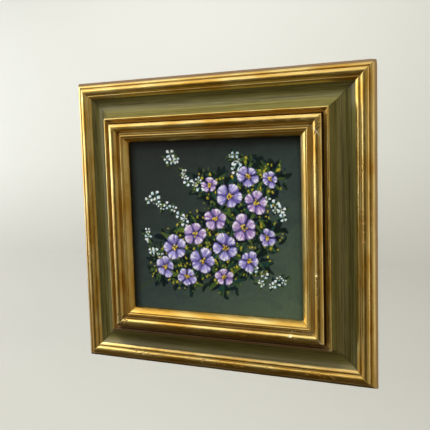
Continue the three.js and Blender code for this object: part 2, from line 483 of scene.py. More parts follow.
@dataclass(frozen=True)
class BurnishedGilt(Finish):
    """Metal leaf laid over red bole on gesso, burnished and then sealed with a thin shellac.

    It gives warm metal with soft broad reflections: brown toning stays in the quirks, red bole shows
    faintly where the crests are rubbed, and fine lines run along the rail where the gesso was scraped.
    """

    name: str = "burnished_leaf_over_red_bole"
    deep: str = "#CCA144"
    pale: str = "#E8D083"
    bole: str = "#9C6626"
    toning: str = "#562C0C"
    # dirt, and painted shade where the marks lay it on the right and bottom rails
    dirt_and_shade: str = "#3A2208"
    gesso: str = "#E8DEC8"
    leaf_size: float = 45.0      # tone changes from leaf to leaf
    scrape: float = 0.7          # spacing of the scraped lines; real ones are finer, drawn so that they show
    mitre_toning: float = 0.65
    roughness: float = 0.3

    def surface(self, tree: Tree) -> dict[str, Any]:
        """Lays leaf over bole, then rubs, tones and chips it.

        Args:
            tree: the material's node tree.

        Returns:
            What each input of the surface shader takes.
        """
        leaves = patterned(tree, "run", (self.leaf_size, 14, 200), 3.1)
        lines = patterned(tree, "run", (22, self.scrape, 200), 7.9, 3.0)
        patches = patterned(tree, "run", (7, 1.8, 200), 5.3, 3.0)
        crinkle = patterned(tree, "run", (1.6, 1.2, 200), 1.4, 2.0)
        relief, wear_and_painted_light = parts(tree, "relief"), parts(tree, "wear_and_painted_light")
        leaf = add(tree, "MapRange", {"Value": leaves, "From Min": 0.35, "From Max": 0.65})
        spots = add(tree, "MapRange", {"Value": patches, "From Min": 0.56, "From Max": 0.8, "To Max": 0.7})
        rubbed = add(tree, "Math", {0: spots, 1: relief["X"], 2: wear_and_painted_light["Y"]}, operation="MULTIPLY_ADD",
                     use_clamp=True)
        streaks = add(tree, "MapRange", {"Value": lines, "From Min": 0.3, "From Max": 0.75, "To Min": 0.2,
                                         "To Max": 0.6})
        # toning in the quirks, with the dirt and painted shade that the marks lay
        quirk = add(tree, "Math", {0: streaks, 1: relief["Y"], 2: wear_and_painted_light["Z"]}, operation="MULTIPLY_ADD")
        toned_and_shaded = add(tree, "Math", {0: relief["Z"], 1: self.mitre_toning, 2: quirk}, operation="MULTIPLY_ADD",
                    use_clamp=True)
        covered = add(tree, "Math", {0: toned_and_shaded, 1: rubbed}, operation="MAXIMUM")
        bared = add(tree, "Math", {0: covered, 1: wear_and_painted_light["X"]}, operation="MAXIMUM")
        shine = add(tree, "Math", {0: lines, 1: 0.2, 2: self.roughness - 0.1}, operation="MULTIPLY_ADD")
        colour = layered(tree, self.deep, (leaf, self.pale), (rubbed, self.bole), (toned_and_shaded, self.toning),
                         (wear_and_painted_light["Z"], self.dirt_and_shade), (wear_and_painted_light["X"], self.gesso))
        return {
            "Base Color": colour,
            "Metallic": add(tree, "MapRange", {"Value": bared, "To Min": 1.0, "To Max": 0.15}),
            "Roughness": add(tree, "Math", {0: bared, 1: 0.25, 2: shine}, operation="MULTIPLY_ADD",
                             use_clamp=True),
            "Normal": embossed(tree, (lines, 0.14, 0.1), (crinkle, 0.16, 0.1)),
            "Coat Weight": 0.18,
            "Coat Roughness": 0.22,
        }


@dataclass(frozen=True)
class BronzePaint(Finish):
    """Bronze powder in a dull varnish, brushed along the rail.

    It gives a soft brownish gold with no mirror in it, finely speckled, with faint brush lines, and duller
    where the marks lay dust and painted shade.
    """

    name: str = "brushed_bronze_powder_paint"
    colour: str = "#C3A058"
    dark: str = "#A38144"
    toning: str = "#5A4020"
    # dust, and painted shade along the outer edge of the bottom and right rails
    dust: str = "#5A3E20"
    brush_line: float = 0.6      # spacing of the brush lines, drawn coarse so that they show
    speck: float = 0.5           # size of the powder's specks, drawn coarse so that they show

    def surface(self, tree: Tree) -> dict[str, Any]:
        """Brushes on the paint, tones its hollows and lays dust and painted shade on it.

        Args:
            tree: the material's node tree.

        Returns:
            What each input of the surface shader takes.
        """
        lines = patterned(tree, "run", (30, self.brush_line, 200), 2.2, 3.0)
        specks = patterned(tree, "run", (self.speck, self.speck, 200), 9.1, 1.0)
        relief, wear_and_painted_light = parts(tree, "relief"), parts(tree, "wear_and_painted_light")
        streak = add(tree, "MapRange", {"Value": lines, "From Min": 0.3, "From Max": 0.7})
        hollow = add(tree, "Math", {0: relief["Y"], 1: relief["Z"]}, operation="ADD", use_clamp=True)
        return {
            "Base Color": layered(tree, self.dark, (streak, self.colour), (hollow, self.toning),
                                  (wear_and_painted_light["Z"], self.dust)),
            "Metallic": add(tree, "MapRange", {"Value": wear_and_painted_light["Z"], "To Min": 0.7, "To Max": 0.1}),
            "Roughness": add(tree, "Math", {0: specks, 1: 0.3, 2: 0.33}, operation="MULTIPLY_ADD"),
            "Normal": embossed(tree, (lines, 0.35, 0.15), (specks, 0.25, 0.1)),
        }


@dataclass(frozen=True)
class OliveLacquer(Finish):
    """Olive-green lacquer dragged along the scoop with a brush and left with a satin gloss.

    It gives a muted green-brown with long fine streaks and a soft window-like sheen along the hollow.
    """

    name: str = "dragged_olive_lacquer"
    body: str = "#666030"
    dark: str = "#453F18"
    pale: str = "#8A824E"
    # rubbed places, and painted sheen on the bottom rail's scoop near the fillet
    rubbed: str = "#AAA070"
    toning: str = "#211C0A"
    drag_line: float = 1.1       # width of the dragged streaks
    hair_line: float = 0.45      # width of the finest streaks
    cloud: float = 9.0           # width of the slower changes of tone

    def surface(self, tree: Tree) -> dict[str, Any]:
        """Drags the lacquer in three widths of streak, rubs it along the marked lines and adds painted sheen.

        Args:
            tree: the material's node tree.

        Returns:
            What each input of the surface shader takes.
        """
        drags = patterned(tree, "run", (110, self.drag_line, 200), 4.4, 4.0)
        clouds = patterned(tree, "run", (160, self.cloud, 200), 6.7, 1.0)
        hairs = patterned(tree, "run", (26, self.hair_line, 200), 8.3, 3.0)
        relief, wear_and_painted_light = parts(tree, "relief"), parts(tree, "wear_and_painted_light")
        dragged = add(tree, "MapRange", {"Value": drags, "From Min": 0.4, "From Max": 0.56})
        haired = add(tree, "MapRange", {"Value": hairs, "From Min": 0.5, "From Max": 0.74, "To Max": 0.75})
        clouded = add(tree, "MapRange", {"Value": clouds, "From Min": 0.45, "From Max": 0.75,
                                         "To Max": 0.35})
        hollow = add(tree, "Math", {0: relief["Y"], 1: relief["Z"]}, operation="ADD", use_clamp=True)
        return {
            "Base Color": layered(tree, self.dark, (dragged, self.body), (haired, self.pale),
                                  (clouded, self.pale), (wear_and_painted_light["X"], self.rubbed), (hollow, self.toning)),
            "Roughness": add(tree, "Math", {0: drags, 1: 0.2, 2: 0.3}, operation="MULTIPLY_ADD"),
            "Normal": embossed(tree, (drags, 0.3, 0.15), (hairs, 0.25, 0.1)),
            "Specular IOR Level": 0.34,
            "Coat Weight": 0.08,
            "Coat Roughness": 0.2,
        }


@dataclass(frozen=True)
class PaintedBole(Finish):
    """Bole brushed into the recess between the two mouldings, with a thin skin of bronze left on it.

    It gives a dim ochre gold in fine streaks, dark red-brown where toning and dust lie in the recess,
    and the same dark red-brown as painted shadow deep in the recess of the right and bottom rails.
    """

    name: str = "bare_red_brown_bole"
    colour: str = "#BE9440"
    # dark red-brown of toning and dust, also used for painted shadow in the recess
    dark: str = "#2E1404"

    def surface(self, tree: Tree) -> dict[str, Any]:
        """Streaks the bole and tones its mitres, its dusty places and its places of painted shadow.

        Args:
            tree: the material's node tree.

        Returns:
            What each input of the surface shader takes.
        """
        lines = patterned(tree, "run", (24, 0.8, 200), 3.3, 3.0)
        streaks = add(tree, "MapRange", {"Value": lines, "From Min": 0.35, "From Max": 0.7, "To Min": 0.5,
                                         "To Max": 0.0})
        edged = add(tree, "Math", {0: streaks, 1: parts(tree, "relief")["Z"]}, operation="MAXIMUM")
        # the darkest of the streaks, the mitres, and the dust and painted shadow that the marks lay
        toned_and_shaded = add(tree, "Math", {0: edged, 1: parts(tree, "wear_and_painted_light")["Z"]}, operation="MAXIMUM",
                    use_clamp=True)
        return {
            "Base Color": layered(tree, self.colour, (toned_and_shaded, self.dark)),
            "Metallic": 0.6,
            "Roughness": 0.4,
            "Normal": embossed(tree, (lines, 0.3, 0.15)),
        }


@dataclass(frozen=True)
class BareWood(Finish):
    """Planed obeche left bare on the back of the mouldings and in the cuts of the mitres.

    It gives a pale straw brown with straight short-pored grain and grey dust.
    """

    name: str = "planed_bare_obeche"
    early: str = "#B8935F"
    late: str = "#8E6A3E"
    pored: str = "#5B4122"
    dust: str = "#8D8374"
    ring: float = 2.6            # spacing of the growth rings on the planed face
    pore: float = 0.35           # width of the pores

    def surface(self, tree: Tree) -> dict[str, Any]:
        """Runs rings and pores down the rail and lays dust on them.

        Args:
            tree: the material's node tree.

        Returns:
            What each input of the surface shader takes.
        """
        rings = patterned(tree, "run", (190, self.ring, 200), 1.9, 3.0)
        pores = patterned(tree, "run", (9, self.pore, 200), 6.1, 2.0)
        dust = patterned(tree, "run", (38, 17, 200), 2.7, 3.0)
        ringed = add(tree, "MapRange", {"Value": rings, "From Min": 0.35, "From Max": 0.65})
        pored = add(tree, "MapRange", {"Value": pores, "From Min": 0.58, "From Max": 0.75, "To Max": 0.6})
        dusted = add(tree, "MapRange", {"Value": dust, "From Min": 0.45, "From Max": 0.75, "To Max": 0.4})
        return {
            "Base Color": layered(tree, self.early, (ringed, self.late), (pored, self.pored),
                                  (dusted, self.dust)),
            "Roughness": 0.68,
            "Normal": embossed(tree, (pores, 0.35, 0.15)),
        }


@dataclass(frozen=True)
class VarnishedOil(Finish):
    """Oil colour laid with hog and sable brushes, under a gloss varnish.

    It gives saturated colour under a clear even gloss, with bristle lines finer than the modelled strokes.
    """

    name: str = "brushed_oil_colour_under_varnish"
    bristle: float = 0.45        # spacing of the bristle lines, drawn coarse so that they show

    def surface(self, tree: Tree) -> dict[str, Any]:
        """Takes the paint's own colour and combs it with bristle lines.

        Args:
            tree: the material's node tree.

        Returns:
            What each input of the surface shader takes.
        """
        paint = add(tree, "Attribute", {}, attribute_name="paint").outputs["Color"]
        bristles = patterned(tree, "spot", (self.bristle, 5, 3.5), 5.5, 3.0)
        combed = add(tree, "MapRange", {"Value": bristles, "From Min": 0.3, "From Max": 0.7, "To Min": 0.88,
                                        "To Max": 1.1})
        return {
            "Base Color": add(tree, "VectorMath", {0: paint, "Scale": combed}, operation="SCALE"),
            "Roughness": 0.45,
            "Normal": embossed(tree, (bristles, 0.2, 0.1)),
            "Specular IOR Level": 0.15,
            "Coat Weight": 0.6,
            "Coat Roughness": 0.13,
            "Coat IOR": 1.5,
        }


@dataclass(frozen=True)
class Hardboard(Finish):
    """Pressed hardboard seen from its rough side, with the mark of the press screen.

    It gives a dull tobacco brown with loose fibres and a fine square weave pressed into it.
    """

    name: str = "pressed_hardboard"
    colour: str = "#6E4F30"
    dark: str = "#4C3520"
    screen: float = 1.7          # spacing of the press screen's wires
    fibre: float = 0.8           # width of the loose fibres

    def surface(self, tree: Tree) -> dict[str, Any]:
        """Mottles the board, stains it and presses the screen's weave into it.

        Args:
            tree: the material's node tree.

        Returns:
            What each input of the surface shader takes.
        """
        fibres = patterned(tree, "spot", (3.5, 30, self.fibre), 4.2, 3.0)
        stains = patterned(tree, "spot", (34, 30, 27), 7.3, 2.0)
        place = parts(tree, "spot")
        wires = []
        for axis in ("X", "Z"):
            phase = add(tree, "Math", {0: place[axis], 1: math.tau / (self.screen * MM)},
                        operation="MULTIPLY")
            wires.append(add(tree, "Math", {0: phase}, operation="SINE"))
        weave = add(tree, "Math", dict(enumerate(wires)), operation="MULTIPLY")
        mottle = add(tree, "MapRange", {"Value": fibres, "From Min": 0.35, "From Max": 0.65})
        stain = add(tree, "MapRange", {"Value": stains, "From Min": 0.5, "From Max": 0.8, "To Max": 0.5})
        return {
            "Base Color": layered(tree, self.dark, (mottle, self.colour), (stain, self.dark)),
            "Roughness": 0.72,
            "Normal": embossed(tree, (weave, 0.35, 0.15), (fibres, 0.4, 0.2)),
        }


@dataclass(frozen=True)
class RolledMetal(Finish):
    """Thin rolled sheet metal, stamped to shape and dulled by a few spots of tarnish.

    It gives a plain metal with fine rolling lines and darker, rougher spots.
    """

    colour: str
    tarnish: str
    spot: float = 2.2            # size of the tarnished spots
    grain: Place = (8.0, 0.25)   # length and width of the rolling lines

    def surface(self, tree: Tree) -> dict[str, Any]:
        """Rolls the sheet's lines and spots it with tarnish.

        Args:
            tree: the material's node tree.

        Returns:
            What each input of the surface shader takes.
        """
        place = add(tree, "TexCoord", {}).outputs["Object"]
        spotted = add(tree, "TexNoise", {"Vector": place, "Scale": 1 / (self.spot * MM), "Detail": 3.0})
        length, width = (1 / (size * MM) for size in self.grain)
        lined = add(tree, "Mapping", {"Vector": place, "Scale": (length, length, width)})
        lines = add(tree, "TexNoise", {"Vector": lined, "Scale": 1.0, "Detail": 2.0})
        spots = add(tree, "MapRange", {"Value": spotted, "From Min": 0.5, "From Max": 0.7})
        return {
            "Base Color": layered(tree, self.colour, (spots, self.tarnish)),
            "Metallic": 1.0,
            "Roughness": add(tree, "Math", {0: spots, 1: 0.25, 2: 0.3}, operation="MULTIPLY_ADD"),
            "Normal": embossed(tree, (lines, 0.2, 0.08)),
        }


@dataclass(frozen=True)
class GraduatedPaper(Finish):
    """Matt background paper, graded lighter towards its top: painted shade that darkens it towards the floor.

    It gives an even pale ground with no gloss.
    """

    name: str = "matt_graduated_background_paper"
    low: str = "#C4C5BE"
    high: str = "#DADCD5"
    turn: Place = (-1.1, -0.1)   # the heights between which its tone changes, in metres

    def surface(self, tree: Tree) -> dict[str, Any]:
        """Grades the paper by height, as painted shade towards the floor, and gives it a faint tooth.

        Args:
            tree: the material's node tree.

        Returns:
            What each input of the surface shader takes.
        """
        place = add(tree, "TexCoord", {}).outputs["Object"]
        tooth = add(tree, "TexNoise", {"Vector": place, "Scale": 3.0, "Detail": 2.0})
        shade = add(tree, "MapRange", {"Value": tooth, "To Min": 0.97, "To Max": 1.0})
        height = add(tree, "SeparateXYZ", {0: place}).outputs["Z"]
        # tone graded by height: painted shade that darkens the paper towards the floor
        raised = add(tree, "MapRange", {"Value": height, "From Min": self.turn[0], "From Max": self.turn[1]})
        graded = layered(tree, self.low, (raised, self.high))
        return {
            "Base Color": add(tree, "VectorMath", {0: graded, "Scale": shade}, operation="SCALE"),
            "Roughness": 0.9,
        }


def mesh_object(name: str, points: Array, faces: Sequence[Sequence[int]], slots: Sequence[int],
                materials: Sequence[bpy.types.Material], vectors: dict[str, Array]) -> bpy.types.Object:
    """Makes an object from points and faces, shaded smooth apart from its sharp corners.

    Args:
        name: the object's name.
        points: one row for each corner, in metres.
        faces: each face's corners, counter-clockwise from outside.
        slots: each face's material slot.
        materials: the materials in slot order.
        vectors: for each attribute's name, one row of three numbers for each corner.

    Returns:
        The new object, in the scene.
    """
    mesh = bpy.data.meshes.new(name)
    mesh.from_pydata(points.tolist(), [], [list(face) for face in faces])
    mesh.polygons.foreach_set("material_index", np.asarray(slots, np.int32))
    mesh.polygons.foreach_set("use_smooth", np.ones(len(faces), bool))
    for label, rows in vectors.items():
        layer = mesh.attributes.new(label, "FLOAT_VECTOR", "POINT")
        layer.data.foreach_set("vector", np.ascontiguousarray(rows, np.float32).ravel())
    for material in materials:
        mesh.materials.append(material)
    mesh.update()
    mesh.set_sharp_from_angle(angle=math.radians(SHARP_TURN))
    made = bpy.data.objects.new(name, mesh)
    bpy.context.scene.collection.objects.link(made)
    LOG.info("%s: %d faces", name, len(faces))
    return made


@dataclass(frozen=True)
class Moulding:
    """Four mitred rails of one section, run round the frame."""

    square: Square
    finishes: dict[Zone, bpy.types.Material]
    prefix: ClassVar[str] = "rail"
    slot: ClassVar[str] = "gilt_wood"
    mitre: float = 0.04          # half of the closed joint between two rails
    mitre_ease: Place = (0.12, 0.35)     # how far the cut edge is rubbed back, and over what length
    joint_toning: Place = (0.8, 0.4)     # how dark the joint is toned, and over what length
    softness: float = 0.16
    turn: float = 11.0           # largest turn between two faces across the rail, in degrees
    stride: float = 1.5          # longest face across the rail
    cut_step: float = 2.0        # longest face along the rail
    closest_cut: float = 0.4     # shortest face along it, at the worn places
    mark_margin: float = 0.4     # how far past a mark the closest cuts go on
    mitre_cuts: tuple[float, ...] = (0.0, 0.12, 0.3, 0.6, 1.1)
    ripple: float = 0.028        # unevenness of the gesso under the finish
    ripple_waves: tuple[tuple[int, float, float], ...] = ((17, 15, 5), (41, 70, 40))   # seed, length, width
    crest_swell: float = 0.42    # swell that counts as a full crest
    groove_swell: float = 0.34   # and as a full hollow

    def section(self) -> Section:
        """Draws the moulding's cross-section."""
        raise NotImplementedError

    def marks(self) -> list[Mark]:
        """Lists the moulding's worn places."""
        raise NotImplementedError

    def line(self, side: Side, inward: float, width: float, shows: Layer, amount: float, depth: float = 0.0,
             ragged: float = 0.1) -> Mark:
        """Gives a mark that runs down the whole rail."""
        full = self.square.side
        return Mark(side, full / 2, inward, 4 * full, width, depth, shows, ragged=ragged, amount=amount)

    def spaced(self, share: Array, inward: Array) -> Array:
        """Gives the places down the rail at shares of its length, which gets shorter further in."""
        trim = inward + self.mitre
        return trim + share * (self.square.side - 2 * trim)

    def stations(self, marks: Sequence[Mark], trim: float) -> Array:
        """Chooses the cuts along a rail, closer together at the mitres and at the marks.

        Args:
            marks: the worn places on this side.
            trim: how far from the frame's corner the rail's middle line starts, in millimetres.

        Returns:
            The cuts as shares of the rail's length, from 0 to 1.
        """
        length = self.square.side - 2 * trim
        cuts = list(np.arange(self.cut_step, length - 1, self.cut_step))
        for mark in marks:
            if mark.length < length / 4:
                middle, reach = mark.along - trim, mark.length / 2 + self.mark_margin
                cuts += list(np.arange(middle - reach, middle + reach, self.closest_cut))
        kept = list(self.mitre_cuts)
        last = length - kept[-1] - self.closest_cut
        for cut in sorted(cuts):
            if cut - kept[-1] >= self.closest_cut and cut < last:
                kept.append(cut)
        kept += [length - x for x in reversed(self.mitre_cuts)]
        return np.array(kept) / length

    def worn(self, side: Side, marks: Sequence[Mark], along: Array, inward: Array, arc: Array,
             edge: Array) -> tuple[Array, Array]:
        """Works out how a rail's finish stands over its plain section, what its worn places show and where
        its painted shade and sheen lie.

        Args:
            side: the side of the frame.
            marks: the worn places on this side.
            along: the places down the rail, in millimetres.
            inward: the places in from the outer edge, in millimetres.
            arc: the places round the section, in millimetres.
            edge: how far each place is from the nearer mitre, in millimetres.

        Returns:
            The height over the plain section in millimetres, and the three channels of wear.
        """
        raised = sum(Ripple(seed + side.turns, self.ripple, *waves).at(along, arc)
                     for seed, *waves in self.ripple_waves)
        raised -= self.mitre_ease[0] * np.exp(-edge / self.mitre_ease[1])
        shown = np.zeros((len(Layer), *along.shape))
        for mark in marks:
            strength = mark.strength(along, inward)
            raised -= mark.depth * strength
            channel = shown[mark.shows.value]
            np.maximum(channel, strength * mark.amount, out=channel)
        return raised, shown

    def build(self, side: Side) -> bpy.types.Object:
        """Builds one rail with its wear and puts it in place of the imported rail.

        Args:
            side: the side of the frame.

        Returns:
            The finished rail.
        """
        section = self.section()
        inward, up = section.points.T
        count = len(inward)
        arc = np.concatenate([[0], np.cumsum(np.linalg.norm(np.diff(section.points, axis=0), axis=1))])
        marks = [mark for mark in self.marks() if mark.side is side]
        share = self.stations(marks, float(np.mean(inward)))[:, None]
        along = self.spaced(share, inward)
        edge = np.minimum(along - inward, self.square.side - inward - along)
        finished = np.array([zone is not Zone.BARE for zone in section.zones], float)
        coated = np.minimum(finished, np.roll(finished, 1))
        raised, shown = (part * coated for part in self.worn(side, marks, along, inward, arc, edge))
        node = f"{self.prefix}_{side.value}"
        height = (self.square.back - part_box(node)[0].y) / MM
        inward_now = np.maximum(inward + raised * section.normals[:, 0], 0)
        up_now = np.minimum(up + raised * section.normals[:, 1], height)
        points = self.square.place(side, self.spaced(share, inward_now), inward_now, up_now).reshape(-1, 3)

        rows = len(share)
        first = np.arange(rows - 1)[:, None] * count
        start = (first + np.arange(count)).ravel()
        ahead = (first + (np.arange(count) + 1) % count).ravel()
        quads = np.stack([start, start + count, ahead + count, ahead], axis=1).tolist()
        caps = [list(range(count)), [(rows - 1) * count + j for j in reversed(range(count))]]
        slots = [zone.value for zone in section.zones] * (rows - 1) + [Zone.BARE.value] * len(caps)
        spread = np.ones_like(along)
        crest = np.clip(section.swell / self.crest_swell, 0, 1) * spread
        groove = np.clip(-section.swell / self.groove_swell, 0, 1) * spread
        joint = self.joint_toning[0] * np.exp(-edge / self.joint_toning[1])
        vectors = {
            "run": np.stack([along * MM, arc * MM * spread, side.turns * spread], axis=-1),
            "relief": np.stack([crest, groove, joint], axis=-1),
            "wear_and_painted_light": np.moveaxis(shown, 0, -1),
        }
        rail = mesh_object(f"{node}_finished", points, quads + caps, slots,
                           [self.finishes[zone] for zone in Zone],
                           {label: vector.reshape(-1, 3) for label, vector in vectors.items()})
        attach(rail, "root")
        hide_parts(node)
        return rail


@dataclass(frozen=True)
class OuterMoulding(Moulding):
    """The wide moulding: dull band, bead and fillet, olive scoop, gilt crest and bole recess."""

    prefix: ClassVar[str] = "outer_rail"
    slot: ClassVar[str] = "olive_and_gilt_wood"
    width: float = 52.8
    edge_height: float = 9.0
    back_edge: float = 1.1       # height of the bare wood at the foot of the outer edge
    lip: Place = (7.0, 18.1)
    bead_at: Place = (12.6, 17.2)
    bead_size: Place = (4.4, 3.9)
    bead_end: float = 26         # degrees above its inner foot where the bead meets the quirk
    fillet: tuple[Place, ...] = ((-0.1, 1.2), (0.5, 1.5), (1.5, 1.3), (2.7, 0.6))   # from the bead's foot
    scoop_start: Place = (20.9, 16.6)
    scoop_pull: tuple[Place, Place] = ((27.5, 8.5), (42.5, 12.5))
    scoop_end: Place = (46.2, 33.1)
    crest_size: Place = (1.25, 0.9)
    fall_pull: Place = (49.7, 30.9)
    recess: Place = (51.9, 30.9)
    recess_depth: float = 6.0
    rub_lines: tuple[tuple[float, float, float], ...] = ((31.3, 1.3, 0.3), (37.8, 1.0, 0.16))

    def section(self) -> Section:
        """Draws the outer moulding's cross-section.

        Returns:
            The section, from its outer back edge over the front to its inner back edge.
        """
        lip_in, lip_up = self.lip
        middle, base = self.bead_at
        quirk = middle + self.bead_size[0]
        crest_in, crest_up = self.scoop_end[0] + self.crest_size[0], self.scoop_end[1]
        fall = crest_in + self.crest_size[0]
        floor = self.recess[1] - self.recess_depth
        shape = Profile(0, 0)
        shape.line(Zone.BARE, (0, self.back_edge))
        shape.line(Zone.BRONZE, (0, self.edge_height - 0.5), (0.5, self.edge_height + 0.5))
        shape.curve(Zone.BRONZE, (1.8, 12.4), (lip_in - 4.1, lip_up - 3.6))
        shape.curve(Zone.GILT, (lip_in - 2.8, lip_up - 1.4), (lip_in - 1.2, lip_up), (lip_in, lip_up - 0.1))
        shape.line(Zone.GILT, (lip_in + 0.6, lip_up - 0.9))
        shape.bead(Zone.GILT, middle, base, self.bead_size, self.bead_end)
        shape.line(Zone.GILT, *((quirk + x, base + y) for x, y in self.fillet), self.scoop_start)
        shape.curve(Zone.OLIVE, *self.scoop_pull, self.scoop_end)
        shape.bead(Zone.GILT, crest_in, crest_up, self.crest_size)
        shape.line(Zone.GILT, (fall + 0.2, crest_up - 0.8))
        shape.curve(Zone.BOLE, self.fall_pull, self.recess)
        shape.line(Zone.BOLE, (self.recess[0], floor))
        shape.line(Zone.BARE, (self.width, floor), (self.width, 0))
        return shape.finished(self.softness, self.turn, self.stride)

    def marks(self) -> list[Mark]:
        """Lists the rubbed lines of the scoop, where dust and toning lie, bands of painted shade and sheen,
        and the chips and pits.

        Returns:
            The worn places of all four rails.
        """
        far = self.square.side
        return [
            *(self.line(side, inward, width, Layer.GESSO_AND_SHEEN, amount, depth=-0.05, ragged=0.5)
              for side in Side
              for inward, width, amount in self.rub_lines),
            # Darker along the top rail's outer edge.
            self.line(Side.TOP, 0.5, 8.5, Layer.DIRT_AND_SHADE, 0.95),
            # Painted shade along the bottom rail's outer edge.
            self.line(Side.BOTTOM, 0.5, 7, Layer.DIRT_AND_SHADE, 0.95),
            # Painted shade that dulls the right rail's outer band.
            self.line(Side.RIGHT, 0.5, 8, Layer.DIRT_AND_SHADE, 0.4),
            # Painted shadow of the inner moulding over the bottom rail's crest and recess.
            self.line(Side.BOTTOM, 49.5, 7.5, Layer.DIRT_AND_SHADE, 0.8),
            # Painted shade over the bottom rail's outer lip.
            self.line(Side.BOTTOM, 4.4, 7, Layer.DIRT_AND_SHADE, 0.75),
            self.line(Side.TOP, 7.4, 0.9, Layer.BOLE, 0.12, ragged=0.6),
            self.line(Side.LEFT, 7.4, 0.9, Layer.BOLE, 0.5, ragged=0.6),
            # Painted shadow deep in the right rail's recess.
            self.line(Side.RIGHT, 52.2, 2.4, Layer.DIRT_AND_SHADE, 0.95),
            # Painted sheen on the bottom rail's scoop near the fillet.
            self.line(Side.BOTTOM, 23.0, 6.5, Layer.GESSO_AND_SHEEN, 0.24, ragged=0.3),
            Mark(Side.BOTTOM, far - 47.6, 46.6, 4.0, 1.6, 0.3, Layer.GESSO_AND_SHEEN, slant=-40, amount=0.5),
            Mark(Side.RIGHT, 47.4, 46.8, 3.4, 1.4, 0.3, Layer.GESSO_AND_SHEEN, slant=30, amount=0.4),
            Mark(Side.BOTTOM, far - 40.6, 40.2, 12, 1.3, 0.1, Layer.GESSO_AND_SHEEN, slant=-45, amount=0.8),
            Mark(Side.TOP, 0.6, 0.4, 5.5, 5.5, 0.55, Layer.DIRT_AND_SHADE, amount=0.8),
            Mark(Side.RIGHT, far - 0.6, 0.4, 5.5, 5.5, 0.55, Layer.DIRT_AND_SHADE, amount=0.8),
            *pitted(Side.BOTTOM, 90, 14.5, (22, 1.6), 16, Layer.BOLE),
            *pitted(Side.BOTTOM, 190, 14.0, (60, 1.8), 26, Layer.BOLE),
            *pitted(Side.BOTTOM, 285, 13.5, (18, 1.8), 12, Layer.BOLE),
            *pitted(Side.LEFT, 130, 13.0, (90, 1.6), 14, Layer.BOLE),
            *pitted(Side.RIGHT, 200, 15.4, (80, 1.0), 14, Layer.BOLE),
        ]


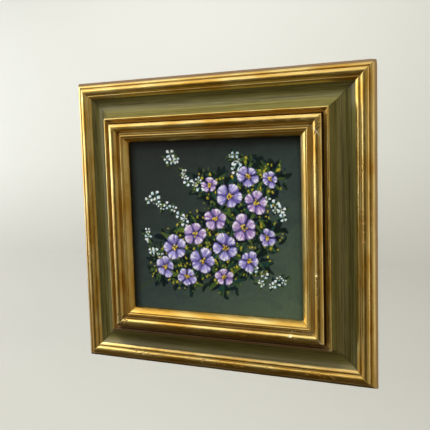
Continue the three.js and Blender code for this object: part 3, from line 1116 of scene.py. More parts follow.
@dataclass(frozen=True)
class InnerMoulding(Moulding):
    """The gilt moulding round the picture: bead, hollow, ridge and sight slope."""

    prefix: ClassVar[str] = "inner_rail"
    slot: ClassVar[str] = "gilt_wood"
    turn: float = 7.0
    stride: float = 0.9
    start_in: float = 53.1
    bead_size: Place = (4.7, 4.1)
    bead_base: float = 34.6
    bare_side: float = 9.0       # depth of the bronzed side below the bead
    hollow_pull: Place = (65.2, 33.2)
    ridge_at: Place = (67.3, 34.8)
    ridge_size: Place = (1.3, 1.1)
    slope_pull: Place = (72, 33)
    sight: Place = (74.35, 29.2)
    sight_lip: float = 2.2
    rabbet_in: float = 68.0

    def section(self) -> Section:
        """Draws the inner moulding's cross-section.

        Returns:
            The section, from its outer back edge over the front to the edge of the rabbet.
        """
        radius = self.bead_size[0]
        bead_in = self.start_in + radius
        ridge_in, ridge_up = self.ridge_at
        ridge_end = ridge_in + self.ridge_size[0]
        lip_up = self.sight[1] - self.sight_lip
        shape = Profile(self.start_in, 0)
        shape.line(Zone.BARE, (self.start_in, self.bead_base - self.bare_side))
        shape.line(Zone.BOLE, (self.start_in, self.bead_base - 0.3))
        shape.line(Zone.GILT, (self.start_in, self.bead_base))
        shape.bead(Zone.GILT, bead_in, self.bead_base, self.bead_size)
        shape.line(Zone.GILT, (bead_in + radius + 0.3, self.bead_base - 1.2))
        shape.curve(Zone.GILT, self.hollow_pull, (ridge_in - self.ridge_size[0], ridge_up - 0.1))
        shape.bead(Zone.GILT, ridge_in, ridge_up, self.ridge_size)
        shape.line(Zone.GILT, (ridge_end + 0.4, ridge_up - 0.6), (ridge_end + 0.9, ridge_up - 0.1))
        shape.curve(Zone.GILT, self.slope_pull, (self.sight[0] - 0.4, self.sight[1] + 0.7))
        shape.line(Zone.GILT, self.sight, (self.sight[0], lip_up))
        shape.line(Zone.BARE, (self.rabbet_in, lip_up), (self.rabbet_in, 0))
        return shape.finished(self.softness, self.turn, self.stride)

    def marks(self) -> list[Mark]:
        """Lists the scratches, darkened lines, bands of painted shadow, pits and chips of the inner moulding.

        Returns:
            The worn places of all four rails.
        """
        return [
            Mark(Side.RIGHT, 269, 58.2, 11, 1.1, 0.2, Layer.GESSO_AND_SHEEN, slant=38, amount=0.65),
            Mark(Side.RIGHT, 269.5, 58.6, 9, 1.3, 0.2, Layer.DIRT_AND_SHADE, slant=-36, amount=0.9),
            Mark(Side.BOTTOM, 252.7, 60.6, 2.8, 2.2, 0.45, Layer.GESSO_AND_SHEEN),
            Mark(Side.BOTTOM, 284, 55.4, 7.5, 1.1, 0.2, Layer.GESSO_AND_SHEEN, slant=-44, amount=0.9),
            # Darker along the bottom rail's hollow.
            self.line(Side.BOTTOM, 64.4, 2.6, Layer.DIRT_AND_SHADE, 0.45),
            # Painted shadow at the inner moulding's foot in the recess, on the right and bottom rails.
            self.line(Side.RIGHT, self.start_in, 1.2, Layer.DIRT_AND_SHADE, 0.9),
            self.line(Side.BOTTOM, self.start_in, 1.2, Layer.DIRT_AND_SHADE, 0.9),
            *pitted(Side.RIGHT, 116, 59.0, (11, 1.6), 24, Layer.DIRT_AND_SHADE, amount=0.75),
            *pitted(Side.RIGHT, 125, 60.2, (3.5, 1.2), 6, Layer.GESSO_AND_SHEEN, amount=0.22),
            *pitted(Side.RIGHT, 280, 57.2, (9, 2.4), 20, Layer.DIRT_AND_SHADE, amount=0.6),
            *pitted(Side.LEFT, 280, 59.0, (10, 4.0), 44, Layer.DIRT_AND_SHADE, amount=0.8),
            *pitted(Side.BOTTOM, 62, 58.0, (6, 4.0), 30, Layer.DIRT_AND_SHADE),
            *pitted(Side.BOTTOM, 266, 57.5, (16, 2.0), 16, Layer.DIRT_AND_SHADE),
            *pitted(Side.BOTTOM, 266, 64.6, (14, 1.0), 12, Layer.GESSO_AND_SHEEN, amount=0.6),
            *pitted(Side.TOP, 90, 59.0, (40, 1.6), 12, Layer.BOLE),
        ]


class Tip(Enum):
    """How a brush stroke's width runs from its start to its end."""

    ROUND = "round"
    POINTED = "pointed"
    PETAL = "petal"
    LINE = "line"

    def width(self, share: Array) -> Array:
        """Works out the stroke's width along its run.

        Args:
            share: shares of the stroke's length, from 0 to 1.

        Returns:
            The width at each share, at most 1.
        """
        ends = np.clip(share * (1 - share) * 4, 0, 1)
        if self is Tip.ROUND:
            return ends ** 0.4
        if self is Tip.POINTED:
            return np.clip(np.sin(math.pi * share ** 0.75), 0, 1) ** 0.9
        if self is Tip.PETAL:
            return np.clip(np.sin(math.pi * share ** 1.9), 0, 1) ** 0.55
        return np.clip(ends * 2.5, 0, 1) ** 0.5 * (1 - 0.5 * share)


@dataclass(frozen=True)
class Stroke:
    """One touch of the brush, in millimetres from the middle of the picture."""

    start: Place
    end: Place
    width: float
    first: str
    last: str
    tip: Tip = Tip.ROUND
    load: float = 0.12           # thickness of the paint
    bend: float = 0.0            # how far the middle bows to the left, as a share of the length
    cover: float = 1.0
    bristle: float = 0.06        # strength of the lines that the bristles leave


def away(place: Place, turn: float, far: float) -> Place:
    """Gives the place that lies a distance away from another, at a turn from the right."""
    return place[0] + far * math.cos(turn), place[1] + far * math.sin(turn)


class PaintLayer:
    """Paint on a fine square grid, where colour and thickness build up stroke by stroke."""

    SOFT_EDGE: ClassVar[float] = 0.45    # how gradually a stroke's side ends, in millimetres
    BRISTLE_RATES: ClassVar[tuple[float, ...]] = (4.4, 7.3, 2.6)

    def __init__(self, line: Array, seed: int) -> None:
        """Starts an empty layer on the lines of a grid, in millimetres."""
        self.line = line
        self.across, self.height = np.meshgrid(line, line)
        self.colour = np.zeros((*self.across.shape, 3))
        self.thickness = np.zeros(self.across.shape)
        self.draw = random.Random(seed)

    def lay(self, stroke: Stroke) -> None:
        """Lays one stroke of paint over what is there.

        Args:
            stroke: the stroke.
        """
        run_x, run_z = stroke.end[0] - stroke.start[0], stroke.end[1] - stroke.start[1]
        length = math.hypot(run_x, run_z)
        reach = stroke.width + abs(stroke.bend) * length
        columns, rows = (slice(int(np.searchsorted(self.line, min(one, two) - reach)),
                               int(np.searchsorted(self.line, max(one, two) + reach)))
                         for one, two in zip(stroke.start, stroke.end))
        window = (rows, columns)
        off_x, off_z = self.across[window] - stroke.start[0], self.height[window] - stroke.start[1]
        share = (off_x * run_x + off_z * run_z) / length ** 2
        side = (off_z * run_x - off_x * run_z) / length - stroke.bend * length * 4 * share * (1 - share)
        within = np.clip(share, 0, 1)
        half = stroke.width / 2 * stroke.tip.width(within)
        inside = np.clip((half - np.abs(side)) / self.SOFT_EDGE + 0.5, 0, 1) * (share > 0) * (share < 1)
        phases = [self.draw.uniform(0, math.tau) for _ in self.BRISTLE_RATES]
        lines = sum(np.sin(side * rate + phase + 2 * share)
                    for rate, phase in zip(self.BRISTLE_RATES, phases)) / len(phases)
        edge = np.clip(np.abs(side) / np.maximum(half, 0.2), 0, 1) ** 3
        blend = within[..., None] ** 1.3
        laid = tone(stroke.first) * (1 - blend) + tone(stroke.last) * blend
        laid = laid * (1 + stroke.bristle * 2.2 * lines[..., None])
        amount = inside * stroke.cover
        self.colour[window] += (np.clip(laid, 0, 1) - self.colour[window]) * amount[..., None]
        body = stroke.load * (0.55 + 0.45 * edge + 0.3 * lines + 0.25 * share)
        self.thickness[window] += (body + 0.35 * self.thickness[window] - self.thickness[window]) * amount


@dataclass(frozen=True)
class Blossom:
    """One open flower of five broad notched petals."""

    x: float
    z: float
    radius: float
    spin: float
    tilt: float                  # how far it turns away, from 0 to 1
    lean: float                  # the direction it turns to, in degrees
    warmth: float                # 0 is blue lilac and 1 is pink lilac

    def spot(self, turn: float, far: float) -> Place:
        """Finds a place on the tilted flower.

        Args:
            turn: the turn round the flower's heart.
            far: the distance from the heart, in millimetres.

        Returns:
            The place in the picture.
        """
        lean = math.radians(self.lean)
        x, z = away((0, 0), turn, far)
        along = (x * math.cos(lean) + z * math.sin(lean)) * (1 - 0.55 * self.tilt)
        cross = -x * math.sin(lean) + z * math.cos(lean)
        return (self.x + along * math.cos(lean) - cross * math.sin(lean),
                self.z + along * math.sin(lean) + cross * math.cos(lean))


@dataclass(frozen=True)
class Palette:
    """The colours that the picture is mixed from."""

    ground: tuple[str, ...] = ("#262D2B", "#33403D", "#4E5E4A")
    lilac: tuple[str, ...] = ("#8880BC", "#9C94CC", "#746BAE", "#B0AADC")
    pink_lilac: tuple[str, ...] = ("#9C80B4", "#AE94C2", "#8A6AA6", "#C0AAD2")
    petal_light: tuple[str, ...] = ("#FAFAFF", "#ECECFA", "#FFFFFF")
    petal_shade: tuple[str, ...] = ("#484086", "#54488C", "#3A3672")
    heart: tuple[str, ...] = ("#CFA82A", "#E2C03D", "#A5801D", "#F0DA70")
    heart_shade: tuple[str, str] = ("#4A3A14", "#5E4A18")
    leaf_dark: tuple[str, ...] = ("#051012", "#0A1A1C", "#061422", "#0E2016")
    leaf_light: tuple[str, ...] = ("#1E3A2E", "#3A5228", "#183A3C", "#566A2A")
    yellow_green: tuple[str, ...] = ("#8E8E26", "#ADA42E", "#6E7828", "#CDB636")
    white: tuple[str, ...] = ("#F4F8F8", "#D4E6EA", "#FFFFFF", "#A8CAD8")
    stem: str = "#39431F"
    twig: str = "#3C4A24"


class FlowerPicture(PaintLayer):
    """The picture: lilac five-petalled blossoms on a climbing spray before a dark green-grey ground."""

    # painted shadow of the sight edge: how dark it is at the edge and how far it reaches, top, right, bottom,
    # left
    SIGHT_EDGE_SHADOW: ClassVar[tuple[Place, ...]] = ((0.36, 10.0), (0.7, 4.0), (0.9, 2.0), (0.42, 9.0))
    BRUSHED: ClassVar[float] = 96.0      # half of the part that is brushed over
    DABBED: ClassVar[float] = 86.0       # half of the part that gets leaf dabs
    GROUND_STROKES: ClassVar[int] = 700
    SHADOW_STROKES: ClassVar[int] = 34   # behind each blossom
    LEAVES: ClassVar[int] = 9            # round each blossom
    DABS: ClassVar[int] = 700
    BLOSSOMS: ClassVar[tuple[Blossom, ...]] = (
        Blossom(-57, -47, 12.0, 10, 0.25, 200, 0.1), Blossom(-31, -57, 11.5, 50, 0.15, 260, 0.7),
        Blossom(-44, -24, 14.0, 30, 0.1, 150, 0.3), Blossom(-12, -38, 14.5, 75, 0.1, 300, 0.0),
        Blossom(12, -55, 11.0, 20, 0.35, 280, 0.5), Blossom(-20, -8, 13.5, 5, 0.15, 120, 0.9),
        Blossom(14, -22, 15.0, 42, 0.05, 0, 0.2), Blossom(40, -36, 12.0, 60, 0.3, 330, 0.0),
        Blossom(4, 9, 13.0, 15, 0.15, 90, 0.4), Blossom(35, 0, 14.5, 28, 0.1, 20, 0.8),
        Blossom(20, 34, 14.0, 66, 0.1, 100, 0.1), Blossom(49, 27, 13.0, 8, 0.2, 40, 0.5),
        Blossom(60, -10, 10.5, 33, 0.4, 350, 0.2), Blossom(41, 55, 12.0, 50, 0.25, 60, 0.0),
        Blossom(-2, 46, 10.0, 22, 0.4, 110, 0.6), Blossom(64, 52, 9.5, 70, 0.45, 30, 0.3),
    )
    STEM: ClassVar[tuple[Place, ...]] = ((-92, -76), (-70, -62), (-48, -44), (-24, -26), (0, -8), (20, 16),
                                         (36, 38), (52, 62))
    SPRIGS: ClassVar[tuple[tuple[tuple[Place, ...], int], ...]] = (
        (((-30, 0), (-44, 16), (-60, 28), (-76, 33)), 10), (((-8, 40), (-26, 52), (-42, 66), (-50, 80)), 10),
        (((36, -42), (52, -54), (66, -60), (80, -58)), 9), (((60, 36), (72, 22), (82, 12)), 6),
        (((-60, -36), (-72, -24), (-80, -10)), 6), (((34, 58), (26, 70), (22, 82)), 7),
    )

    def __init__(self, line: Array, seen: float) -> None:
        """Starts the picture on the lines of a grid, with half the size of the part that shows."""
        super().__init__(line, seed=23)
        self.seen = seen
        self.palette = Palette()

    def mixed_ground(self, across: Array | float, height: Array | float, stray: float = 0.0) -> Array:
        """Mixes the ground's colour, which is dark above and on the left and lighter below on the right.

        Args:
            across: places across the picture, as shares of its half width.
            height: places up the picture, as shares of its half height.
            stray: how much lighter than usual the mixture is.

        Returns:
            The colours, as shares of full light.
        """
        dark, middle, light = (tone(code) for code in self.palette.ground)
        share = np.clip(0.42 + 0.30 * across - 0.34 * height + stray, 0, 1)[..., None]
        return np.where(share < 0.5, dark + (middle - dark) * share * 2,
                        middle + (light - middle) * (share * 2 - 1))

    def paint_ground(self) -> None:
        """Covers the panel with the ground's colour and brushes it over with broad strokes."""
        self.colour[:] = self.mixed_ground(self.across / self.seen, self.height / self.seen)
        draw = self.draw
        for _ in range(self.GROUND_STROKES):
            x, z = draw.uniform(-self.BRUSHED, self.BRUSHED), draw.uniform(-self.BRUSHED, self.BRUSHED)
            turn = math.radians(draw.gauss(12, 26))
            length = draw.uniform(14, 34)
            mixed = self.mixed_ground(x / self.BRUSHED, z / self.BRUSHED, draw.gauss(0, 0.08))
            code = "#" + "".join(f"{round(255 * min(1, max(0, c))):02X}" for c in mixed)
            self.lay(Stroke((x, z), away((x, z), turn, length), draw.uniform(4, 9), code, code, Tip.ROUND,
                            0.03, draw.uniform(-0.1, 0.1), 0.42, 0.035))

    def paint_sight_edge_shadow(self) -> None:
        """Darkens the paint near the sight edge, most above and on the left: painted shadow of the sight
        edge.
        """
        gaps = (self.seen - self.height, self.seen - self.across, self.seen + self.height,
                self.seen + self.across)
        for gap, (least, reach) in zip(gaps, self.SIGHT_EDGE_SHADOW):
            share = np.clip(gap / reach, 0, 1)
            self.colour *= (least + (1 - least) * share ** 0.8)[..., None]

    def paint_shadow_mass(self) -> None:
        """Rubs in the dark green depth behind the blossoms and leaves."""
        draw, dark = self.draw, self.palette.leaf_dark
        for flower in self.BLOSSOMS:
            for _ in range(self.SHADOW_STROKES):
                turn = draw.uniform(0, math.tau)
                place = away((flower.x, flower.z), turn, flower.radius * draw.uniform(0.2, 1.7))
                aim = draw.uniform(0, math.tau)
                self.lay(Stroke(place, away(place, aim, draw.uniform(7, 15)), draw.uniform(3, 6),
                                draw.choice(dark), draw.choice(dark), Tip.ROUND, 0.04,
                                draw.uniform(-0.2, 0.2), 0.85, 0.05))

    def paint_stem(self, places: Sequence[Place], width: float, code: str) -> None:
        """Draws a stem through the places in short joined strokes."""
        for start, end in zip(places, places[1:]):
            self.lay(Stroke(start, end, width, code, code, Tip.LINE, 0.08, 0.03, 0.9))

    def paint_leaf(self, place: Place, aim: float, length: float) -> None:
        """Paints a pointed leaf in two halves, some with a light rib.

        Args:
            place: where the leaf starts.
            aim: the turn that it points to.
            length: its length, in millimetres.
        """
        draw, mix = self.draw, self.palette
        tip = away(place, aim, length)
        for turned, codes in ((1, mix.leaf_dark), (-1, mix.leaf_light)):
            shift = (-math.sin(aim) * turned * length * 0.09, math.cos(aim) * turned * length * 0.09)
            self.lay(Stroke((place[0] + shift[0], place[1] + shift[1]),
                            (tip[0] + shift[0] * 0.3, tip[1] + shift[1] * 0.3), length * 0.27,
                            draw.choice(codes), draw.choice(codes), Tip.POINTED, 0.1, 0.06 * turned, 0.92,
                            0.12))
        if draw.random() < 0.55:
            self.lay(Stroke(place, tip, 0.7, draw.choice(mix.leaf_light), draw.choice(mix.yellow_green),
                            Tip.LINE, 0.06, 0.02, 0.7))

    def paint_petal(self, flower: Blossom, body: Sequence[str], turn: float, reach: float) -> None:
        """Paints one petal: its body, its lobes, its light edge and its dark vein.

        Args:
            flower: the blossom that the petal is on.
            body: the petal's colours.
            turn: the turn of its middle line round the heart.
            reach: its length, in millimetres.
        """
        draw, spot, mix = self.draw, flower.spot, self.palette
        wide = reach * 0.92 * (math.dist(spot(turn + 0.5, reach), spot(turn - 0.5, reach)) / reach)
        self.lay(Stroke(spot(turn, reach * 0.1), spot(turn, reach), wide, draw.choice(mix.petal_shade),
                        draw.choice(body), Tip.PETAL, 0.14, draw.uniform(-0.04, 0.04), 1, 0.08))
        for lobe in (-0.27, -0.13, 0.02, 0.16, 0.28):
            aim = turn + lobe + draw.uniform(-0.04, 0.04)
            far = reach * (1.04 - 1.1 * abs(lobe) ** 1.7 - (0.08 if abs(lobe) < 0.05 else 0))
            self.lay(Stroke(spot(turn + lobe * 0.5, reach * 0.3), spot(aim, far), wide * 0.23,
                            draw.choice(body), draw.choice(body[1:]), Tip.PETAL, 0.2, 0.15 * lobe, 0.9,
                            0.12))
        for lobe in draw.sample((-0.3, -0.16, 0, 0.14, 0.3), 4):
            aim = turn + lobe + draw.uniform(-0.05, 0.05)
            far = reach * (1.02 - 0.9 * abs(lobe) ** 1.7)
            self.lay(Stroke(spot(aim, reach * draw.uniform(0.42, 0.66)), spot(aim, far), wide * 0.19,
                            draw.choice(body), draw.choice(mix.petal_light), Tip.PETAL, 0.38, 0.2 * lobe,
                            0.92, 0.16))
        self.lay(Stroke(spot(turn, reach * 0.16), spot(turn, reach * 0.6), 0.7, draw.choice(mix.petal_shade),
                        draw.choice(body), Tip.LINE, 0.04, 0, 0.7))

    def paint_blossom(self, flower: Blossom) -> None:
        """Paints a blossom's five petals and its heart.

        Args:
            flower: the blossom.
        """
        draw, spot, mix = self.draw, flower.spot, self.palette
        body = mix.pink_lilac if draw.random() < flower.warmth else mix.lilac
        order = list(range(5))
        draw.shuffle(order)
        for number in order:
            turn = math.radians(flower.spin + 72 * number + draw.uniform(-5, 5))
            self.paint_petal(flower, body, turn, flower.radius * draw.uniform(0.9, 1.08))
        for _ in range(14):
            turn, far = draw.uniform(0, math.tau), flower.radius * draw.uniform(0, 0.2)
            near, end = spot(turn, far), spot(turn + 0.5, far + draw.uniform(0.9, 1.6))
            self.lay(Stroke(near, end, draw.uniform(1.2, 1.9), draw.choice(mix.heart),
                            draw.choice(mix.heart), Tip.ROUND, 0.34, 0, 0.95, 0.1))
        for _ in range(3):
            x, z = spot(draw.uniform(0, math.tau), flower.radius * draw.uniform(0.05, 0.17))
            self.lay(Stroke((x, z), (x + 0.9, z - 0.3), 0.8, *mix.heart_shade, Tip.ROUND, 0.2))

    def paint_floret(self, place: Place, size: float) -> None:
        """Paints a tiny white star of four touches.

        Args:
            place: its heart.
            size: its radius, in millimetres.
        """
        draw, white, heart = self.draw, self.palette.white, self.palette.heart
        spin = draw.uniform(0, math.pi)
        for number in range(4):
            turn = spin + number * math.pi / 2 + draw.uniform(-0.25, 0.25)
            far = size * draw.uniform(0.8, 1.15)
            self.lay(Stroke(away(place, turn, 0.25 * far), away(place, turn, far), size * 0.62,
                            draw.choice(white[1:2] + white[3:]), draw.choice(white[:3]), Tip.PETAL, 0.4, 0.1,
                            0.97, 0.1))
        x, z = place
        self.lay(Stroke((x - 0.4, z), (x + 0.5, z + 0.2), 0.9, heart[1], heart[2], Tip.ROUND, 0.2))

    def paint_sprig(self, places: Sequence[Place], florets: int) -> None:
        """Paints a thin twig and the white stars along it, with small leaves between them.

        Args:
            places: the twig's turning points.
            florets: how many stars it bears.
        """
        draw = self.draw
        self.paint_stem(places, 0.9, self.palette.twig)
        for number in range(florets):
            share = (number + 0.6) / florets * (len(places) - 1)
            step = min(int(share), len(places) - 2)
            spot = tuple(a + (b - a) * (share - step) + draw.gauss(0, 3.4)
                         for a, b in zip(places[step], places[step + 1]))
            aim = draw.uniform(0, math.tau)
            for turn in (aim, aim + 2.4):
                self.paint_leaf(spot, turn, draw.uniform(6, 10))
            self.paint_floret(spot, draw.uniform(2.6, 6.0))

    def paint_leaves(self) -> None:
        """Sets leaves round each blossom."""
        draw = self.draw
        for flower in self.BLOSSOMS:
            for _ in range(self.LEAVES):
                aim = draw.uniform(0, math.tau)
                place = away((flower.x, flower.z), aim, flower.radius * draw.uniform(0.5, 0.9))
                self.paint_leaf(place, aim + draw.uniform(-0.5, 0.5), draw.uniform(9, 17))

    def paint_dabs(self) -> None:
        """Dabs small touches of dark, light and yellow green between the blossoms."""
        draw, mix = self.draw, self.palette
        for number in range(self.DABS):
            flower = draw.choice(self.BLOSSOMS)
            aim, far = draw.uniform(0, math.tau), flower.radius * draw.uniform(0.85, 1.8)
            x, z = away((flower.x, flower.z), aim, far)
            codes = (mix.leaf_dark, mix.leaf_light, mix.yellow_green)[number % 3]
            if max(abs(x), abs(z)) < self.DABBED:
                self.lay(Stroke((x, z), (x + draw.uniform(-2, 2), z + draw.uniform(1.4, 3.6)),
                                draw.uniform(1.2, 2.6), draw.choice(codes), draw.choice(codes),
                                Tip.ROUND, 0.22, 0.1, 0.85, 0.12))

    def paint(self) -> None:
        """Paints the whole picture, from the ground up to the last lights."""
        self.paint_ground()
        self.paint_shadow_mass()
        self.paint_stem(self.STEM, 1.6, self.palette.stem)
        self.paint_leaves()
        for places, florets in self.SPRIGS:
            self.paint_sprig(places, florets)
        self.paint_dabs()
        for flower in sorted(self.BLOSSOMS, key=lambda f: f.radius):
            self.paint_blossom(flower)
        self.paint_sight_edge_shadow()


@dataclass(frozen=True)
class PaintedPanel:
    """The hardboard panel with the picture's paint on its front, in millimetres."""

    square: Square
    oil: bpy.types.Material
    board: bpy.types.Material
    cells: int = 290             # lines of the paint's grid across the part that shows
    seen: float = 95.9           # half of the part that shows, with a little under the sight edge
    covered: float = 1.5         # width inside it where the relief is held down
    relief_limit: float = 0.24   # paint under the sight edge is thinner than this
    relief_most: float = 1.0
    bare_rim: float = 1.0        # width without relief at the panel's edge
    ease: float = 0.35           # how far the board's edges are broken

    def grid_line(self, half: float) -> Array:
        """Gives the lines of the paint's grid, fine where the picture shows and coarse under the frame."""
        wing = [self.seen + 1.2, self.seen + 3, half - self.ease]
        middle = np.linspace(-self.seen, self.seen, self.cells)
        return np.array([-x for x in reversed(wing)] + list(middle) + wing)

    def build(self) -> bpy.types.Object:
        """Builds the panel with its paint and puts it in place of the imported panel.

        Returns:
            The finished panel.
        """
        low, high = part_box("painted_panel")
        half = (high.x - low.x) / 2 / MM
        front, back = -low.y / MM, -high.y / MM
        line = self.grid_line(half)
        picture = FlowerPicture(line, self.seen)
        picture.paint()
        reach = np.maximum(np.abs(picture.across), np.abs(picture.height))
        limit = np.where(reach > self.seen - self.covered, self.relief_limit, self.relief_most)
        proud = np.clip(picture.thickness, 0, limit) * (reach < half - self.bare_rim)
        painted = np.stack([picture.across * MM, -(front + proud) * MM, picture.height * MM], -1)
        rows = [painted.reshape(-1, 3)]
        colours = [picture.colour.reshape(-1, 3)]
        number = np.arange(len(line) ** 2).reshape(len(line), -1)
        faces = np.stack([number[:-1, :-1], number[:-1, 1:], number[1:, 1:], number[1:, :-1]], -1)
        faces = faces.reshape(-1, 4).tolist()
        slots = [0] * len(faces)
        ring = np.concatenate([number[0, :-1], number[:-1, -1], number[-1, :0:-1], number[:0:-1, 0]])
        rim, rim_colours = rows[0][ring], colours[0][ring]
        last, total = ring, number.size
        grow = 1 + self.ease / (half - self.ease)
        for depth, wide, slot in ((front - self.ease, grow, 0), (back + self.ease, grow, 1), (back, 1.0, 1)):
            loop = rim * (wide, 1, wide)
            loop[:, 1] = -depth * MM
            rows.append(loop)
            colours.append(rim_colours)
            fresh = np.arange(total, total + len(ring))
            total += len(ring)
            faces += np.stack([last, fresh, np.roll(fresh, -1), np.roll(last, -1)], -1).tolist()
            slots += [slot] * len(ring)
            last = fresh
        faces.append(last[::-1].tolist())
        slots.append(1)
        points = np.concatenate(rows) + np.array([self.square.middle.x, 0, self.square.middle.z])
        panel = mesh_object("painted_panel_finished", points, faces, slots, [self.oil, self.board],
                            {"spot": points})
        lit = decoded(np.clip(np.concatenate(colours), 0, 1))
        colour = panel.data.attributes.new("paint", "FLOAT_COLOR", "POINT")
        colour.data.foreach_set("color", np.hstack([lit, np.ones((len(lit), 1))]).astype(np.float32).ravel())
        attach(panel, "root")
        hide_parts("painted_panel")
        return panel


@dataclass(frozen=True)
class BackFittings:
    """The steel points that hold the panel, and the toothed hanger with its two pins."""

    steel: bpy.types.Material
    brass: bpy.types.Material

    def dress(self) -> None:
        """Gives each packed fitting its metal."""
        for name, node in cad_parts.items():
            metal = self.steel if name.startswith("framing_point") else self.brass
            if name.startswith(("framing_point", "hanger")):
                node.data.materials.clear()
                node.data.materials.append(metal)
                LOG.info("%s: dressed", name)


@dataclass(frozen=True)
class SoftBox:
    """A soft studio light: where it stands, what it faces, how large it is and how strong."""

    name: str
    place: tuple[float, float, float]
    aim: tuple[float, float, float]
    size: Place
    power: float
    colour: str
    mirrored: bool = True        # whether metal and varnish show its reflection


@dataclass(frozen=True)
class Glow:
    """One side of the studio's surround that is brighter than the rest."""

    toward: tuple[float, float, float]
    begins: float                # share of the way towards it where the glow begins
    full: float                  # and where it is full
    colour: str
    strength: float


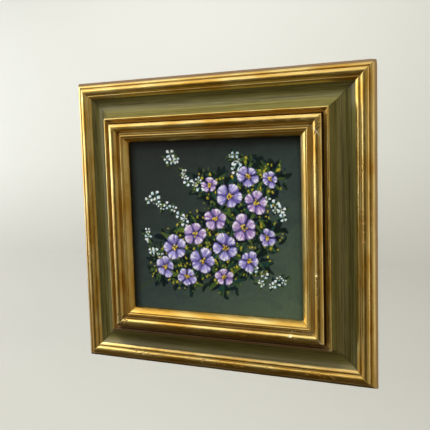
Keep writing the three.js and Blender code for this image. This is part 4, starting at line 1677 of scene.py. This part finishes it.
@dataclass(frozen=True)
class Studio:
    """The camera, the lights, the surround and a plain pale sweep of floor and backdrop, in metres."""

    camera_place: tuple[float, float, float] = (0.1263, -0.4721, -0.0634)
    yaw: float = 16.95           # the camera looks this many degrees to the left of straight on
    pitch: float = 3.69          # and this many down
    roll: float = -1.75
    lens: float = 35.58
    sensor: float = 36.0
    shift: Place = (0.0273, -0.0833)
    clip: Place = (0.01, 30)
    floor: float = -1.45
    floor_front: float = -12.0
    wall: float = 1.7
    wall_top: float = 4.5
    sweep_radius: float = 0.8
    sweep_steps: int = 24
    half_width: float = 9.0
    lights: tuple[SoftBox, ...] = (
        SoftBox("front_top_softbox", (-0.45, -1.15, 1.4), (0, 0, -0.15), (2.0, 1.5), 8.5, "#FFFCF4"),
        SoftBox("left_softbox", (-1.4, -0.6, 0.45), (0, 0, -0.1), (1.4, 1.6), 15.0, "#FDFDFF"),
        SoftBox("right_softbox", (1.5, 0.35, -0.1), (0, 0, -0.15), (0.9, 1.8), 4.5, "#FFFBF2"),
        SoftBox("right_fill_light", (1.3, -0.7, 0.0), (0, 0, -0.15), (0.6, 0.8), 5.0, "#FFFBF2", False),
        SoftBox("picture_light", (-0.5, -0.65, 1.5), (0, 0, -0.15), (0.7, 0.6), 36.0, "#FBFCFF", False),
        SoftBox("backdrop_top_light", (-0.1, 0.3, 1.9), (0.0, 1.7, 0.4), (2.6, 0.8), 12.0, "#F8FAFF"),
        SoftBox("backdrop_left_light", (-2.7, 0.6, 0.2), (-1.1, 1.7, 0.1), (0.8, 2.0), 23.0, "#F8FAFF"),
    )
    surround: str = "#44381F"
    seen_surround: str = "#D9DAD4"
    glows: tuple[Glow, ...] = (
        Glow((0, -0.3, 0.95), 0.4, 0.95, "#FFFCF4", 0.6),
        Glow((-1, 0, 0.1), 0.3, 0.95, "#FDFDFF", 0.45),
        Glow((1, 0, 0), 0.0, 0.65, "#FFF3DC", 0.3),
    )

    def build_paper(self) -> None:
        """Builds the floor with its curve and the backdrop above it, as two sheets that meet edge to edge.

        The floor is pale to look at, but throws no light up at the frame.
        """
        paper = GraduatedPaper().made()
        curve = []
        for i in range(self.sweep_steps + 1):
            turn = math.pi / 2 * i / self.sweep_steps
            curve.append((self.wall - self.sweep_radius * (1 - math.sin(turn)),
                          self.floor + self.sweep_radius * (1 - math.cos(turn))))
        flat = [(self.floor_front, self.floor), (0.0, self.floor)]
        floor = self.paper_sheet("paper_floor", [*flat, *curve], paper)
        floor.visible_glossy = False
        floor.visible_diffuse = False
        self.paper_sheet("paper_backdrop", [curve[-1], (self.wall, self.wall_top)], paper)

    def paper_sheet(self, name: str, outline: Sequence[Place],
                    paper: bpy.types.Material) -> bpy.types.Object:
        """Makes a sheet of paper from its side view.

        Args:
            name: the sheet's name.
            outline: distance behind the frame's back and height of each fold line, in metres.
            paper: the paper's material.

        Returns:
            The sheet.
        """
        points = np.array([(x, y, z) for y, z in outline for x in (-self.half_width, self.half_width)])
        faces = [(2 * i, 2 * i + 1, 2 * i + 3, 2 * i + 2) for i in range(len(outline) - 1)]
        sheet = mesh_object(name, points, faces, [0] * len(faces), [paper], {})
        return sheet

    def build_lights(self) -> None:
        """Sets up the soft boxes, each turned to what it lights and out of the camera's sight."""
        for box in self.lights:
            light = bpy.data.lights.new(box.name, "AREA")
            light.shape = "RECTANGLE"
            light.size, light.size_y = box.size
            light.energy = box.power
            light.color = linear(box.colour)[:3]
            lamp = bpy.data.objects.new(box.name, light)
            lamp.location = box.place
            lamp.rotation_euler = (Vector(box.aim) - Vector(box.place)).to_track_quat("-Z", "Y").to_euler()
            lamp.visible_camera = False
            lamp.visible_glossy = box.mirrored
            bpy.context.scene.collection.objects.link(lamp)

    def build_surround(self) -> None:
        """Makes the surround: dim in front and below, glowing softly elsewhere, and pale where it is seen."""
        world = bpy.data.worlds.new("dim_studio")
        world.use_nodes = True
        tree = world.node_tree
        way = add(tree, "TexCoord", {}).outputs["Generated"]
        light = add(tree, "VectorMath", {0: linear(self.surround)[:3]}, operation="ADD")
        for glow in self.glows:
            facing = add(tree, "VectorMath", {0: way, 1: glow.toward}, operation="DOT_PRODUCT")
            share = add(tree, "MapRange", {"Value": facing, "From Min": glow.begins, "From Max": glow.full,
                                           "To Max": glow.strength}, interpolation_type="SMOOTHSTEP")
            cast = add(tree, "VectorMath", {0: linear(glow.colour)[:3], "Scale": share}, operation="SCALE")
            light = add(tree, "VectorMath", {0: light, 1: cast}, operation="ADD")
        camera = add(tree, "LightPath", {}).outputs["Is Camera Ray"]
        seen = add(tree, "Mix", {"Factor": camera, 6: light, 7: linear(self.seen_surround)},
                   data_type="RGBA")
        fill(tree, tree.nodes["Background"], {"Color": seen})
        bpy.context.scene.world = world

    def build_camera(self) -> None:
        """Sets the camera at the photograph's viewing angle and makes it the scene's."""
        data = bpy.data.cameras.new("studio_camera")
        data.lens = self.lens
        data.sensor_width = self.sensor
        data.shift_x, data.shift_y = self.shift
        data.clip_start, data.clip_end = self.clip
        camera = bpy.data.objects.new("studio_camera", data)
        camera.matrix_world = (Matrix.Translation(self.camera_place)
                               @ Matrix.Rotation(math.radians(self.yaw), 4, "Z")
                               @ Matrix.Rotation(math.radians(90 - self.pitch), 4, "X")
                               @ Matrix.Rotation(math.radians(self.roll), 4, "Z"))
        bpy.context.scene.collection.objects.link(camera)
        bpy.context.scene.camera = camera

    def build(self) -> None:
        """Builds the camera, the paper, the lights and the surround, and asks for plain colour."""
        self.build_camera()
        self.build_paper()
        self.build_lights()
        self.build_surround()
        bpy.context.scene.view_settings.view_transform = "Standard"


def main() -> None:
    """Builds the studio, the mouldings, the picture and the back fittings in turn."""
    logging.basicConfig(level=logging.INFO, format="%(message)s")
    Studio().build()
    square = Square.from_model()
    finishes = {
        Zone.BARE: BareWood().made(),
        Zone.BRONZE: BronzePaint().made(),
        Zone.GILT: BurnishedGilt().made(),
        Zone.OLIVE: OliveLacquer().made(),
        Zone.BOLE: PaintedBole().made(),
    }
    for moulding in (OuterMoulding(square, finishes), InnerMoulding(square, finishes)):
        for side in Side:
            moulding.build(side)
    PaintedPanel(square, VarnishedOil().made(), Hardboard().made()).build()
    steel = RolledMetal("stamped_zinc_steel", "#8F9194", "#5A5650")
    brass = RolledMetal("brass_plated_steel", "#C2A35C", "#6A5227")
    BackFittings(steel.made(), brass.made()).dress()


if __name__ == "__main__":
    main()
